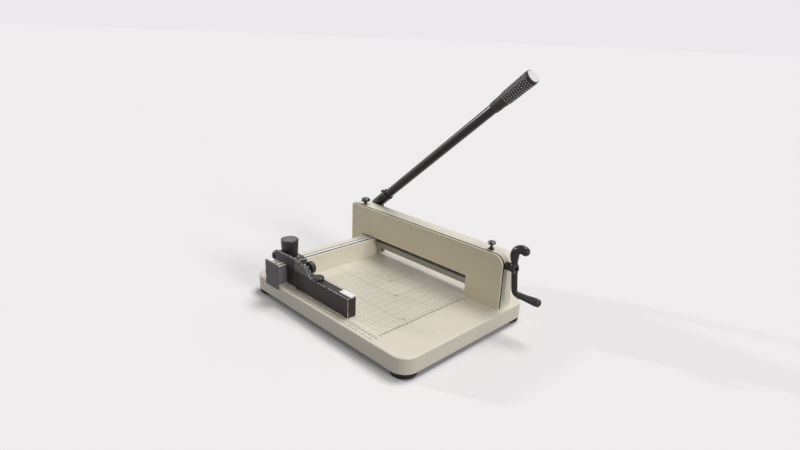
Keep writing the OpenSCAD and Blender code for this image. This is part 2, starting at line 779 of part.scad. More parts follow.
module guide_bushes() {
    color("#b08d4a") for (x = guide_xs) difference() {
        union() {
            rod_y([x, carrier_back, guide_z], guide_d, rear_wall_t + 2 * slide_gap);
            rod_y([x, casting_back + slide_gap, guide_z], guide_d + 8, 1.6);
        }
        rod_y([x, carrier_back - 1, guide_z], guide_screw_d, rear_wall_t + 5);
    }
}

module guide_screws() {
    color(steel) for (x = guide_xs) translate([x, casting_back + slide_gap + 1.6, guide_z])
        rotate([-90, 0, 0]) cap_screw(guide_screw_d - 0.2, rear_wall_t + carrier_t + 1.6);
}

// Clamp: a bar lowered by two screws that the crank turns through mitre gears

module clamp_bar() {
    color("#8f8d84") difference() {
        union() {
            block([throat_x0 + 0.4, clamp_y0, clamp_z],
                [throat_x1 - 0.4, clamp_y0 + clamp_t, clamp_z + clamp_h]);
            block([throat_x0 - tongue_t + 0.4, shaft_y - tongue_w / 2 + 0.2, clamp_z],
                [throat_x1 + tongue_t - 0.4, shaft_y + tongue_w / 2 - 0.2, clamp_z + clamp_h]);
            for (x = screw_xs) rod_z([x, shaft_y, clamp_z + clamp_h - 1], sleeve_d,
                sleeve_top - clamp_z - clamp_h + 1);
        }
        block([throat_x0 - 1, clamp_y0 - 1, clamp_z + clamp_face],
            [throat_x1 + 1, clamp_y0 + clamp_step, clamp_z + clamp_h + 1]);
        for (x = screw_xs) {
            rod_z([x, shaft_y, clamp_z - 1], clamp_screw_d + 1, sleeve_top);
            rod_z([x, shaft_y, sleeve_top - nut_l], nut_d, nut_l + 1);
        }
    }
}

module clamp_nuts() {
    color("#b08d4a") for (x = screw_xs) difference() {
        rod_z([x, shaft_y, sleeve_top - nut_l], nut_d, nut_l);
        rod_z([x, shaft_y, sleeve_top - nut_l - 1], clamp_screw_d + 2 * run_gap, nut_l + 2);
    }
}

module clamp_screw(x) {
    top = shaft_z - cone_in * cos(gear_root);
    ring_z = shelf_top - shelf_t - slide_gap - thrust_ring_h;
    color(steel) {
        rod_z([x, shaft_y, screw_low], clamp_screw_d, top - screw_low);
        rod_z([x, shaft_y, ring_z], thrust_ring_d, thrust_ring_h);
    }
}

module clamp_screw_left() {
    clamp_screw(screw_xs[0]);
}

module clamp_screw_right() {
    clamp_screw(screw_xs[1]);
}

module driven_gear(x) {
    color("#7b7466") translate([x, shaft_y, shaft_z]) mitre_gear(180, clamp_screw_d + 0.02);
}

module driven_gear_left() {
    driven_gear(screw_xs[0]);
}

module driven_gear_right() {
    driven_gear(screw_xs[1]);
}

// Crank

module drive_gears() {
    color("#7b7466") for (x = screw_xs) translate([x, shaft_y, shaft_z]) rotate([0, 90, 0])
        mitre_gear(180 / gear_teeth, crank_shaft_d + 0.02);
}

module crank_shaft() {
    start = screw_xs[0] - web_out - web_t - 1;
    color(steel) rod_x([start, shaft_y, shaft_z], crank_shaft_d, crank_x - 1 - start);
}

module lock_collar() {
    color("#55585a") translate([crank_pin_x - 8, shaft_y, shaft_z]) difference() {
        rotate([0, 90, 0]) cylinder(d = 18, h = 16);
        translate([-1, 0, 0]) rotate([0, 90, 0]) cylinder(d = crank_shaft_d + 0.02, h = 18);
        for (a = [0:90:270]) rotate([a, 0, 0]) block([8 - 3.4, -10, 5.5], [8 + 3.4, 10, 12]);
    }
}

// The arm is one cast rod: a curled end, a hub round the shaft, and an elbow to the grip
curl_r = 16.5;
elbow_r = 10;

module crank_arm() {
    curl = [crank_x + 13.5, shaft_z + 28];
    steps = 14;
    tip_turn = 65;
    curl_path = [for (k = [0:steps]) let (a = tip_turn + k * (180 - tip_turn) / steps)
        curl + curl_r * [cos(a), sin(a)]];
    elbow = [crank_x + 5 + elbow_r, grip_z + elbow_r];
    elbow_path = [for (k = [0:6]) let (a = 180 + k * 15) elbow + elbow_r * [cos(a), sin(a)]];
    tip = curl_path[0];
    out = [sin(tip_turn), -cos(tip_turn)];
    cap = [for (a = [80, 55, 30]) tip + crank_curl_d / 2 * sin(a) * out];
    cap_r = [for (a = [80, 55, 30]) crank_curl_d / 2 * cos(a)];
    neck = [[crank_x - 2.6, shaft_z + 20], [crank_x - 1.5, shaft_z + 13]];
    path = concat(cap, curl_path, neck, elbow_path, [[grip_x0 - 0.4, grip_z]]);
    radii = concat(cap_r, [for (k = [0:steps]) crank_curl_d / 2], [crank_curl_d / 2 - 1.2,
        crank_arm_d / 2 + 0.4], [for (k = [0:7]) crank_arm_d / 2]);
    color(black) difference() {
        union() {
            sweep_xz(shaft_y, path, radii, 20);
            rod_x([crank_x - 7, shaft_y, shaft_z], 19, 12);
        }
        rod_x([crank_x - 8, shaft_y, shaft_z], crank_shaft_d + 0.02, 8);
        rod_x([crank_x - 3, shaft_y, shaft_z], 4, 12);
        rod_x([crank_x + 5, shaft_y, shaft_z], 7.6, crank_arm_d);
        rod_x([grip_x0 - 10, shaft_y, grip_z], 6.02, 12);
    }
}

module crank_screw() {
    color("#444446") translate([crank_x + 5, shaft_y, shaft_z]) rotate([0, 90, 0]) cap_screw(4, 4.6);
}

module grip_axle() {
    color(steel) {
        rod_x([grip_x0 - 10, shaft_y, grip_z], 6, crank_grip_l + 6);
        rod_x([grip_x0 + crank_grip_l - 4, shaft_y, grip_z], 10, 3);
    }
}

module crank_grip() {
    end_r = crank_grip_d / 2;
    root_r = end_r - 1;
    color(black) difference() {
        translate([grip_x0, shaft_y, grip_z]) rotate([0, 90, 0]) rotate_extrude() polygon([[0, 0],
            [root_r - 2, 0], [root_r, 2], [root_r - 1.2, 6], [root_r - 0.6, crank_grip_l * 0.4],
            [end_r, crank_grip_l * 0.8], [end_r - 0.6, crank_grip_l - 2], [end_r - 2.5, crank_grip_l],
            [0, crank_grip_l]]);
        rod_x([grip_x0 - 1, shaft_y, grip_z], 6 + 2 * run_gap, crank_grip_l + 2);
        rod_x([grip_x0 + crank_grip_l - 4.2, shaft_y, grip_z], 10.6, 6);
    }
}

// Pins on top that lock the lever's shaft and the crank's collar

lever_pin_drop = 7;
crank_pin_drop = 7.5;

module mushroom(d, h) {
    rotate_extrude() polygon([[0, 0], [d / 2 - 3, 0], [d / 2, 2], [d / 2, h - 4],
        [d / 2 - 1.2, h - 1.5], [d / 2 - 4, h], [0, h]]);
}

module lever_lock_pin() {
    tip = pivot_z + pivot_d / 2 + 0.5;
    cap = gantry_top + lever_pin_drop + 0.3;
    color(black) {
        rod_z([pivot_x, pin_y, tip], 8, cap - tip + 1);
        translate([pivot_x, pin_y, cap]) mushroom(23, 9.5);
    }
}

module crank_lock_pin() {
    tip = shaft_z + 5.8 + crank_pin_drop;
    cap = gantry_top + 3 + crank_pin_drop + 0.3;
    color(black) {
        rod_z([crank_pin_x, pin_y, tip], 6, cap - tip + 1);
        translate([crank_pin_x, pin_y, cap]) mushroom(17.5, 8);
    }
}

module pin_guide() {
    color(black) translate([crank_pin_x, pin_y, gantry_top]) difference() {
        cylinder(d = 12, h = 3);
        translate([0, 0, -1]) cylinder(d = 6.3, h = 5);
    }
}

// Side fence with a T-slot on top for the gauge, a scale strip and an end cap

slot_w_top = 7;
slot_lip = 4;
slot_wide = 13;
slot_deep = 6;
cap_t = 4;
cap_spots = [for (z = [fence_top - 5.5, table_z + 12]) [fence_x0 + 4.5, z]];

module side_fence() {
    wall = 5;
    low = table_z + 8;
    high = fence_top - slot_lip - slot_deep - 3;
    color(ivory) difference() {
        block([fence_x0, fence_y0, table_z], [fence_x1, plate_back, fence_top]);
        block([slot_x - slot_w_top / 2, fence_y0 - 1, fence_top - slot_lip - 1],
            [slot_x + slot_w_top / 2, plate_back + 1, fence_top + 1]);
        block([slot_x - slot_wide / 2, fence_y0 - 1, fence_top - slot_lip - slot_deep],
            [slot_x + slot_wide / 2, plate_back + 1, fence_top - slot_lip]);
        block([fence_x0 + 2 * wall, fence_y0 - 1, low + 9], [fence_x1 - wall, plate_back + 1, high]);
        for (p = fence_spots) rod_z([p[0], p[1], table_z - 1], 4.8, 17);
        for (p = cap_spots) rod_y([p[0], fence_y0 - 1, p[1]], 2.8, 12);
    }
}

module fence_screws() {
    color(steel) for (p = fence_spots) translate([p[0], p[1], table_z - table_t]) mirror([0, 0, 1])
        cap_screw(4.8, table_t + 14);
}

module scale_strip() {
    color("#dfe2e4") block([fence_x1 - 1 - scale_w, fence_y0 + 3, fence_top],
        [fence_x1 - 1, plate_back, rail_top]);
}

module fence_end_cap() {
    color(black) difference() {
        block([fence_x0, fence_y0 - cap_t, table_z - 6], [fence_x1 + 9, fence_y0, fence_top + 8]);
        for (p = cap_spots) rod_y([p[0], fence_y0 - cap_t - 1, p[1]], 3.4, cap_t + 2);
    }
}

module end_cap_screws() {
    color(steel) for (p = cap_spots) translate([p[0], fence_y0 - cap_t, p[1]]) rotate([90, 0, 0])
        cap_screw(2.8, 12);
}

// Back gauge: a slider that saddles the fence and an arm that the paper rests against

crest = [[slider_x0, slider_z0 + 16], [fence_x0 + 8, slider_z0 + 21.5], [fence_x0 + 29, slider_z0 + 22.6],
    [fence_x0 + 56, slider_z0 + 22.6], [fence_x0 + 75, slider_z0 + 21.8], [fence_x0 + 94, slider_z0 + 19.6],
    [fence_x0 + 110, slider_z0 + 15.6], [fence_x0 + 120, slider_z0 + 9], [fence_x0 + 130.5, arm_z1]];
split_x = fence_x0 + 75;
web = 6;
gauge_screw_zs = [arm_z0 + 9, arm_z1 - 10];

module gauge_slider() {
    hole = [slot_x, lock_knob_y];
    color(black) difference() {
        union() {
            block([slider_x0, gauge_y0, slider_z0], [fence_x1 + 12, slider_y1, slider_z1]);
            block([slider_x0, gauge_y0, table_z + 16], [fence_x0 - 0.5, slider_y1 - 6, slider_z1]);
            slab_y(gauge_y0, gauge_y0 + web) polygon(concat([for (p = crest) if (p[0] <= split_x) p],
                [[split_x, slider_z0], [slider_x0, slider_z0]]));
            block([fence_x1 + 0.5, gauge_y0 + 2.5, arm_z0], [split_x, gauge_y1 - 0.5, slider_z1]);
            block([fence_x1 + 0.5, gauge_y1 - 1, arm_z1 - 6], [fence_x1 + 12, slider_y1, slider_z1]);
            rod_z([hole[0], hole[1], slider_z1 - 1], 36, 2.2);
            block([slider_x0, gauge_y0 + web - 1, slider_z1 - 1],
                [slider_x0 + 6, gauge_y0 + 20, slider_z1 + 11]);
        }
        rod_z([hole[0], hole[1], slider_z0 - 1], 6.4, 20);
        rod_x([slider_x0 - 1, wheel_y, wheel_z], 4 + 2 * run_gap, 6.5);
        for (z = gauge_screw_zs) {
            rod_x([split_x - 14, gauge_y0 + arm_t / 2, z], 4.8, 16);
            rod_x([fence_x1 - 1, gauge_y0 + arm_t / 2, z], 9, split_x - fence_x1 - 12);
        }
    }
}

stop_knob_x = split_x + 8;
stop_knob_z = arm_z1 - 0.2;
wheel_y = gauge_y0 + web + 2;
wheel_z = slider_z0 + 4.5;
disc_x = crest[8][0] + 14.5;

module gauge_arm() {
    color("#3a3836") difference() {
        union() {
            block([split_x, gauge_y0, arm_z0], [arm_x1, gauge_y1, arm_z1]);
            slab_y(gauge_y0, gauge_y0 + web) polygon(concat([[split_x, arm_z1 - 1], [split_x, crest[4][1]]],
                [for (p = crest) if (p[0] > split_x) p], [[crest[8][0], arm_z1 - 1]]));
            for (k = [0, 1]) block([split_x + 8 + k * 22, gauge_y0 + web - 1, arm_z1 - 1],
                [split_x + 11 + k * 22, gauge_y1 - 3, arm_z1 + 12 - 6 * k]);
            rod_z([disc_x, gauge_y0 + arm_t / 2, arm_z1 - 1], 14, 1.8);
            rod_y([stop_knob_x, gauge_y0 + 1, stop_knob_z], 15, arm_t + 3);
        }
        block([split_x + 20, gauge_y0 + 5, arm_z0 - 1], [arm_x1 - 8, gauge_y1 - 5, arm_z1 - 6]);
        for (z = gauge_screw_zs) rod_x([split_x - 1, gauge_y0 + arm_t / 2, z], 4.6, 16);
        rod_z([disc_x, gauge_y0 + arm_t / 2, arm_z1 - 8], 5 + 2 * run_gap, 12);
        rod_y([stop_knob_x, gauge_y0 + 9, stop_knob_z], 6 + 2 * run_gap, arm_t);
    }
}

module gauge_screws() {
    color(steel) for (z = gauge_screw_zs) translate([split_x - 13, gauge_y0 + arm_t / 2, z])
        rotate([0, -90, 0]) cap_screw(4.6, 26);
}

module gauge_lock_knob() {
    z0 = slider_z1 + 1.5;
    color(black) translate([slot_x, lock_knob_y, z0]) difference() {
        union() {
            rotate_extrude($fn = 72) polygon([[0, 0], [lock_knob_d / 2 - 3.5, 0],
                [lock_knob_d / 2 - 2.5, 1], [lock_knob_d / 2 - 0.2, lock_knob_h - 4],
                [lock_knob_d / 2, lock_knob_h - 2], [lock_knob_d / 2 - 1.6, lock_knob_h],
                [lock_knob_d / 2 - 3, lock_knob_h], [lock_knob_d / 2 - 4, lock_knob_h - 1.2],
                [0, lock_knob_h - 1.2]]);
        }
        translate([0, 0, -1]) cylinder(d = 6.02, h = 19);
    }
}

module lock_stud() {
    z0 = fence_top - slot_lip - slot_deep + 0.6;
    color(steel) rod_z([slot_x, lock_knob_y, z0], 6, slider_z1 + 18 - z0);
}

module lock_nut() {
    z0 = fence_top - slot_lip - slot_deep + 0.6;
    color(steel) translate([slot_x, lock_knob_y, z0]) difference() {
        translate([-slot_wide / 2 + 0.5, -9, 0]) cube([slot_wide - 1, 18, slot_deep - 1]);
        translate([0, 0, -1]) cylinder(d = 6 + 2 * run_gap, h = slot_deep + 2);
    }
}

module gauge_wheel() {
    color(black) translate([slider_x0 - 7.3, wheel_y, wheel_z]) rotate([0, 90, 0]) union() {
        difference() {
            cylinder(d = 22, h = 7, $fn = 64);
            for (a = [0:15:345]) rotate(a) translate([11.4, 0, -1]) cylinder(d = 1.8, h = 9, $fn = 8);
        }
        cylinder(d = 4, h = 12);
    }
}

module gauge_stop_knob() {
    color(black) translate([stop_knob_x, gauge_y1 + 4.4, stop_knob_z]) rotate([-90, 0, 0]) {
        rotate_extrude($fn = 64) polygon([[0, 0], [7, 0], [7, 4], [12.5, 4.8], [14, 6.5], [14, 14],
            [12, 16.5], [0, 16.5]]);
        translate([0, 0, -13]) cylinder(d = 6, h = 14);
    }
}

module gauge_disc_knob() {
    color("#26251f") translate([disc_x, gauge_y0 + arm_t / 2, arm_z1 + 1]) {
        rotate_extrude($fn = 64) polygon([[0, 0], [12, 0], [13, 1], [13, 4], [11, 6], [5, 7], [0, 7]]);
        translate([0, 0, -7]) cylinder(d = 5, h = 8);
    }
}

base_table();
feet();
foot_screws();
cutting_stick();
gantry_casting();
front_plate();
gantry_bolts();
plate_screws();
pivot_bush();
shaft_brackets();
bracket_screws();
shaft_bushes();
crank_collar();
lever_hub();
pivot_shaft();
pivot_nut();
drive_pin();
drive_roller();
lever_tube();
tube_screw();
lever_grip();
grip_plug();
blade_carrier();
blade();
blade_screws();
guide_bushes();
guide_screws();
clamp_bar();
clamp_nuts();
clamp_screw_left();
clamp_screw_right();
driven_gear_left();
driven_gear_right();
crank_shaft();
drive_gears();
lock_collar();
crank_arm();
crank_screw();
grip_axle();
crank_grip();
side_fence();
fence_screws();
scale_strip();
fence_end_cap();
end_cap_screws();
gauge_slider();
gauge_arm();
gauge_screws();
gauge_lock_knob();
lock_stud();
lock_nut();
gauge_wheel();
gauge_stop_knob();
gauge_disc_knob();
lever_lock_pin();
crank_lock_pin();
pin_guide();
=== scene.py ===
"""Stack paper cutter: finishes, printed marks and fittings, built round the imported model."""

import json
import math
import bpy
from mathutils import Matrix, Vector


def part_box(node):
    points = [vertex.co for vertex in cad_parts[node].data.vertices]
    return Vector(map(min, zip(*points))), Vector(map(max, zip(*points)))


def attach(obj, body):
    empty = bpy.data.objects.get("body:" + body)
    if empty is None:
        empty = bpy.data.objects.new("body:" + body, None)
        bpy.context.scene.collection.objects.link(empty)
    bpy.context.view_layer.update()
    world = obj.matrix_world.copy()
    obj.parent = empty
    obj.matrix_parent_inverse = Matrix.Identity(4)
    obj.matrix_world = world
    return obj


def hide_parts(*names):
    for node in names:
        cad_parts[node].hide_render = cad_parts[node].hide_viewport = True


bl_info = {
    "name": "Stack Paper Cutter",
    "version": (1, 0, 0),
    "blender": (4, 5, 0),
    "location": "View3D > Sidebar > Cutter",
    "description": "Dresses a desk stack cutter with paint, marks, grips and a studio stage",
    "category": "Add Mesh",
}

import bmesh
import bpy
from bpy.props import FloatProperty, FloatVectorProperty, IntProperty, PointerProperty
from mathutils import Matrix, Vector

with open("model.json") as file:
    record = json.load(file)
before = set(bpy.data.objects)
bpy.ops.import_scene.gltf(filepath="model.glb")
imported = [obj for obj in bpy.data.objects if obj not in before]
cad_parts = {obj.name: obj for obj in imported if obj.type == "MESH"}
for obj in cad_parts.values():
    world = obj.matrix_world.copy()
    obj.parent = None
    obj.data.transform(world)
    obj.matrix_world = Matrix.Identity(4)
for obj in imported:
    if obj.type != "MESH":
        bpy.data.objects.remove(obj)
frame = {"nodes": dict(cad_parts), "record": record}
NODES = frame["nodes"]
BODY_OF = {n: b for b, members in frame["record"]["behaviour"]["bodies"].items() for n in members}
SLOT_OF = {s["node"]: s["material_slot"] for s in frame["record"]["subparts"]}
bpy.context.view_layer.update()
MM = 0.001
SEED = 7


def colour(name, label, value):
    """A colour property with three parts from 0 to 1."""
    return FloatVectorProperty(
        name=name, description=label, default=value, subtype="COLOR", size=3, min=0, max=1
    )


def length(name, label, value, low=0.0, high=2.0):
    """A length property in metres."""
    return FloatProperty(
        name=name, description=label, default=value, min=low, max=high, unit="LENGTH", precision=5
    )


class CutterFinish(bpy.types.PropertyGroup):
    """Colours of the paints, plastics and metals."""

    ivory: colour("Ivory paint", "Paint of the table, casting and fence", (0.70, 0.655, 0.55))
    plate: colour("Plate paint", "Paint of the front plate", (0.68, 0.615, 0.455))
    black: colour("Black paint", "Gloss paint of the lever and the crank", (0.009, 0.0085, 0.009))
    plastic: colour("Black plastic", "Moulded knobs and grips", (0.010, 0.0095, 0.010))
    arm: colour("Arm paint", "Dark grey paint of the gauge's arm", (0.026, 0.023, 0.021))
    rubber: colour("Rubber", "Feet and lever grip", (0.009, 0.0085, 0.0085))
    bronze: colour("Bronze", "Bushes and nuts", (0.42, 0.27, 0.11))
    ink: colour("Ink", "Printed marks on the table", (0.035, 0.030, 0.025))


class CutterMarks(bpy.types.PropertyGroup):
    """Sizes of the printed and engraved marks."""

    grid_pitch: length("Grid pitch", "Distance between printed grid lines", 0.010, 0.005, 0.05)
    dash_pitch: length("Dash pitch", "Distance between a grid line's dashes", 0.005, 0.002, 0.02)
    dash_length: length("Dash length", "Length of a dash", 0.0018, 0.0005, 0.01)
    line_width: length("Line width", "Width of a printed line", 0.0007, 0.0001, 0.002)
    ink_height: length("Ink height", "Thickness of the ink", 0.00006, 0.00002, 0.0003)
    tick_pitch: length("Tick pitch", "Distance between ruler ticks", 0.002, 0.001, 0.01)
    tick_length: length("Tick length", "Length of a short tick", 0.003, 0.001, 0.01)
    arm_height: length("Arm height", "Height of the gauge's arm", 0.0424, 0.01, 0.1)
    digit_size: length("Digit size", "Height of the ruler's numbers", 0.0042, 0.001, 0.01)


class CutterGrip(bpy.types.PropertyGroup):
    """Pips on the lever's grip."""

    rows: IntProperty(name="Rows", description="Rings of pips", default=12, min=4, max=40)
    around: IntProperty(name="Around", description="Pips in a ring", default=19, min=8, max=60)
    pip: length("Pip size", "Radius of a pip", 0.00105, 0.0003, 0.003)
    start: length("Start", "Distance from the lever's root to the first ring", 0.492)
    reach: length("Reach", "Length of the part with pips", 0.062)
    low_radius: length("Low radius", "Grip's radius at the first ring", 0.0144)
    high_radius: length("High radius", "Grip's radius at the last ring", 0.0157)
    tilt: FloatProperty(name="Tilt", description="Lever's rise, degrees", default=39.75)
    root: FloatVectorProperty(
        name="Root", description="Start of the lever's axis", default=(-0.2108, 0.1562, 0.1575),
        subtype="TRANSLATION", size=3,
    )


class CutterTrims(bpy.types.PropertyGroup):
    """Thin films, strips and discs on the model's surfaces; the dark strip round the plate, the dark band on
    the clamp and the dark line over the window are painted shade, and the grey patch on the gauge's web is a
    painted highlight.
    """

    # Painted shade: the strip round the plate is dark colour laid in the gap between plate and casting, where
    # only shade falls.
    seam: length("Seam", "Width of the dark seam round the plate", 0.0036, 0.001, 0.01)
    film: length("Film", "Thickness of the seam", 0.0003, 0.0001, 0.001)
    left_radius: length("Left radius", "Radius of the gantry's left shoulder", 0.004, 0.001, 0.03)
    right_radius: length("Right radius", "Radius of the gantry's right shoulder", 0.022, 0.001, 0.03)
    clamp_face: length("Clamp face", "Height of the clamp's face", 0.0155, 0.01, 0.03)
    clamp_step: length("Clamp step", "Depth of the step above that face", 0.003, 0.001, 0.01)
    # Painted shade: the dark band on the clamp's face, and the sheet on the step above it, stand in for the
    # shade under the plate.
    lip: length("Lip", "Width of the dark lip on that face", 0.0022, 0.0005, 0.01)
    dish: length("Dish", "Depth of the lock knob's top", 0.0012, 0.0, 0.01)
    lever: length("Lever", "Distance from the lever's root to its tip", 0.563)
    # Painted shade: the dark line over the window stands in for the shadow gap under the plate's window edge.
    edge: length("Edge", "Height of the dark line over the window", 0.0013, 0.0, 0.005)
    nose: length("Nose", "Length of the dark film on the fence's side", 0.030, 0.0, 0.1)


class CutterStage(bpy.types.PropertyGroup):
    """Camera and studio."""

    lens: FloatProperty(name="Lens", description="Focal length", default=24.9, min=10, max=100)
    azimuth: FloatProperty(name="Azimuth", description="Camera's turn, degrees", default=45.0)
    elevation: FloatProperty(name="Elevation", description="Camera's tilt down, degrees", default=19.1)
    roll: FloatProperty(name="Roll", description="Camera's roll, degrees", default=2.4)
    place: FloatVectorProperty(
        name="Camera", description="Camera's place", default=(0.8217, -0.7842, 0.5844),
        subtype="TRANSLATION", size=3,
    )
    floor: colour("Floor", "Floor and backdrop", (0.83, 0.815, 0.83))
    reach: length("Reach", "Half of the floor's width", 60.0, 1.0, 100.0)


# Shader node groups

def new_group(name, inputs, outputs):
    """An empty shader group with float or colour sockets, and its two end nodes."""
    group = bpy.data.node_groups.new(name, "ShaderNodeTree")
    for label, kind, default in inputs:
        socket = group.interface.new_socket(label, in_out="INPUT", socket_type=kind)
        if default is not None:
            socket.default_value = default
    for label, kind in outputs:
        group.interface.new_socket(label, in_out="OUTPUT", socket_type=kind)
    return group, group.nodes.new("NodeGroupInput"), group.nodes.new("NodeGroupOutput")


def add(tree, kind, links=None, **values):
    """A node with its values set, and its inputs linked or set."""
    node = tree.nodes.new(kind)
    for key, value in values.items():
        setattr(node, key, value)
    for key, value in (links or {}).items():
        if isinstance(value, bpy.types.NodeSocket):
            tree.links.new(value, node.inputs[key])
        else:
            node.inputs[key].default_value = value
    return node


FLOAT, COLOR, VECTOR = "NodeSocketFloat", "NodeSocketColor", "NodeSocketVector"


def paint_group():
    """Mottled colour, grain height and roughness of a painted or moulded surface."""
    group, start, end = new_group(
        "surface_grain",
        [("Color", COLOR, (0.5, 0.5, 0.5, 1)), ("Mottle", FLOAT, 0.1), ("Mottle Scale", FLOAT, 14.0),
         ("Grain Scale", FLOAT, 900.0), ("Roughness", FLOAT, 0.4), ("Spread", FLOAT, 0.1)],
        [("Color", COLOR), ("Roughness", FLOAT), ("Height", FLOAT)],
    )
    coords = add(group, "ShaderNodeTexCoord").outputs["Object"]
    broad = add(group, "ShaderNodeTexNoise", {"Vector": coords, "Scale": start.outputs["Mottle Scale"],
                                             "Detail": 4.0, "Roughness": 0.6})
    fine = add(group, "ShaderNodeTexNoise", {"Vector": coords, "Scale": start.outputs["Grain Scale"],
                                            "Detail": 2.0, "Roughness": 0.5})
    centred = add(group, "ShaderNodeMath", {0: broad.outputs["Fac"], 1: 0.5}, operation="SUBTRACT")
    shade = add(group, "ShaderNodeMath", {0: centred.outputs[0], 1: start.outputs["Mottle"]},
                operation="MULTIPLY")
    gain = add(group, "ShaderNodeMath", {0: shade.outputs[0], 1: 1.0}, operation="ADD")
    tinted = add(group, "ShaderNodeVectorMath", {0: start.outputs["Color"]}, operation="SCALE")
    group.links.new(gain.outputs[0], tinted.inputs["Scale"])
    spread = add(group, "ShaderNodeMath", {0: centred.outputs[0], 1: start.outputs["Spread"]},
                 operation="MULTIPLY")
    rough = add(group, "ShaderNodeMath", {0: spread.outputs[0], 1: start.outputs["Roughness"]},
                operation="ADD", use_clamp=True)
    group.links.new(tinted.outputs[0], end.inputs["Color"])
    group.links.new(rough.outputs[0], end.inputs["Roughness"])
    group.links.new(fine.outputs["Fac"], end.inputs["Height"])
    return group


def wear_group():
    """Mask for the bevels' lighter edge colour, from the bevels' own attribute broken up by noise: partly real
    scuffing, partly painted edge highlight.
    """
    group, start, end = new_group(
        "edge_wear_and_highlight", [("Amount", FLOAT, 0.5), ("Scale", FLOAT, 220.0)], [("Mask", FLOAT)]
    )
    coords = add(group, "ShaderNodeTexCoord").outputs["Object"]
    edge = add(group, "ShaderNodeAttribute", attribute_name="edge")
    chips = add(group, "ShaderNodeTexNoise", {"Vector": coords, "Scale": start.outputs["Scale"],
                                             "Detail": 5.0})
    cut = add(group, "ShaderNodeMapRange", {"Value": chips.outputs["Fac"], "From Min": 0.42,
                                           "From Max": 0.62})
    both = add(group, "ShaderNodeMath", {0: edge.outputs["Fac"], 1: cut.outputs["Result"]},
               operation="MULTIPLY")
    scaled = add(group, "ShaderNodeMath", {0: both.outputs[0], 1: start.outputs["Amount"]},
                 operation="MULTIPLY", use_clamp=True)
    group.links.new(scaled.outputs[0], end.inputs["Mask"])
    return group


def dust_group():
    """Mask of fine dust that lies on faces that look up."""
    group, start, end = new_group(
        "settled_dust", [("Amount", FLOAT, 0.1), ("Scale", FLOAT, 60.0)], [("Mask", FLOAT)]
    )
    coords = add(group, "ShaderNodeTexCoord").outputs["Object"]
    facing = add(group, "ShaderNodeSeparateXYZ",
                 {0: add(group, "ShaderNodeNewGeometry").outputs["Normal"]})
    up = add(group, "ShaderNodeMapRange", {"Value": facing.outputs["Z"], "From Min": 0.4,
                                          "From Max": 0.95})
    specks = add(group, "ShaderNodeTexNoise", {"Vector": coords, "Scale": start.outputs["Scale"],
                                              "Detail": 6.0, "Roughness": 0.7})
    cut = add(group, "ShaderNodeMapRange", {"Value": specks.outputs["Fac"], "From Min": 0.45,
                                           "From Max": 0.8})
    both = add(group, "ShaderNodeMath", {0: up.outputs["Result"], 1: cut.outputs["Result"]},
               operation="MULTIPLY")
    scaled = add(group, "ShaderNodeMath", {0: both.outputs[0], 1: start.outputs["Amount"]},
                 operation="MULTIPLY", use_clamp=True)
    group.links.new(scaled.outputs[0], end.inputs["Mask"])
    return group


def brush_group():
    """Streaks of a ground or brushed metal: colour, roughness and height."""
    group, start, end = new_group(
        "brushed_streaks",
        [("Color", COLOR, (0.6, 0.6, 0.6, 1)), ("Stretch", VECTOR, (40.0, 900.0, 900.0)),
         ("Roughness", FLOAT, 0.3)],
        [("Color", COLOR), ("Roughness", FLOAT), ("Height", FLOAT)],
    )
    coords = add(group, "ShaderNodeTexCoord").outputs["Object"]
    drawn = add(group, "ShaderNodeVectorMath", {0: coords, 1: start.outputs["Stretch"]},
                operation="MULTIPLY")
    streak = add(group, "ShaderNodeTexNoise", {"Vector": drawn.outputs[0], "Scale": 1.0, "Detail": 3.0})
    level = add(group, "ShaderNodeMapRange", {"Value": streak.outputs["Fac"], "From Min": 0.3,
                                             "From Max": 0.7, "To Min": 0.82, "To Max": 1.08})
    tinted = add(group, "ShaderNodeVectorMath", {0: start.outputs["Color"]}, operation="SCALE")
    group.links.new(level.outputs["Result"], tinted.inputs["Scale"])
    uneven = add(group, "ShaderNodeMath", {0: streak.outputs["Fac"], 1: 0.22}, operation="MULTIPLY")
    rough = add(group, "ShaderNodeMath", {0: uneven.outputs[0], 1: start.outputs["Roughness"]},
                operation="ADD", use_clamp=True)
    group.links.new(tinted.outputs[0], end.inputs["Color"])
    group.links.new(rough.outputs[0], end.inputs["Roughness"])
    group.links.new(streak.outputs["Fac"], end.inputs["Height"])
    return group


GROUPS = {}


def group_of(name):
    """One of the shared shader groups, built on first use."""
    makers = {"grain": paint_group, "wear_and_highlight": wear_group, "dust": dust_group, "brush": brush_group}
    if name not in GROUPS:
        GROUPS[name] = makers[name]()
    return GROUPS[name]


def placed(tree, name, values):
    """A shared group placed in a material with its own values."""
    node = tree.nodes.new("ShaderNodeGroup")
    node.node_tree = group_of(name)
    for key, value in values.items():
        node.inputs[key].default_value = value
    return node


def blank_material(name):
    """A material with only its Principled shader."""
    material = bpy.data.materials.new(name)
    material.use_nodes = True
    return material, material.node_tree, material.node_tree.nodes["Principled BSDF"]


def blend_colour(tree, mask, base, top):
    """Colour that goes from base to top by a mask."""
    mix = tree.nodes.new("ShaderNodeMix")
    mix.data_type = "RGBA"
    tree.links.new(mask, mix.inputs["Factor"])
    for socket, value in ((mix.inputs[6], base), (mix.inputs[7], top)):
        if isinstance(value, bpy.types.NodeSocket):
            tree.links.new(value, socket)
        else:
            socket.default_value = value
    return mix.outputs[2]


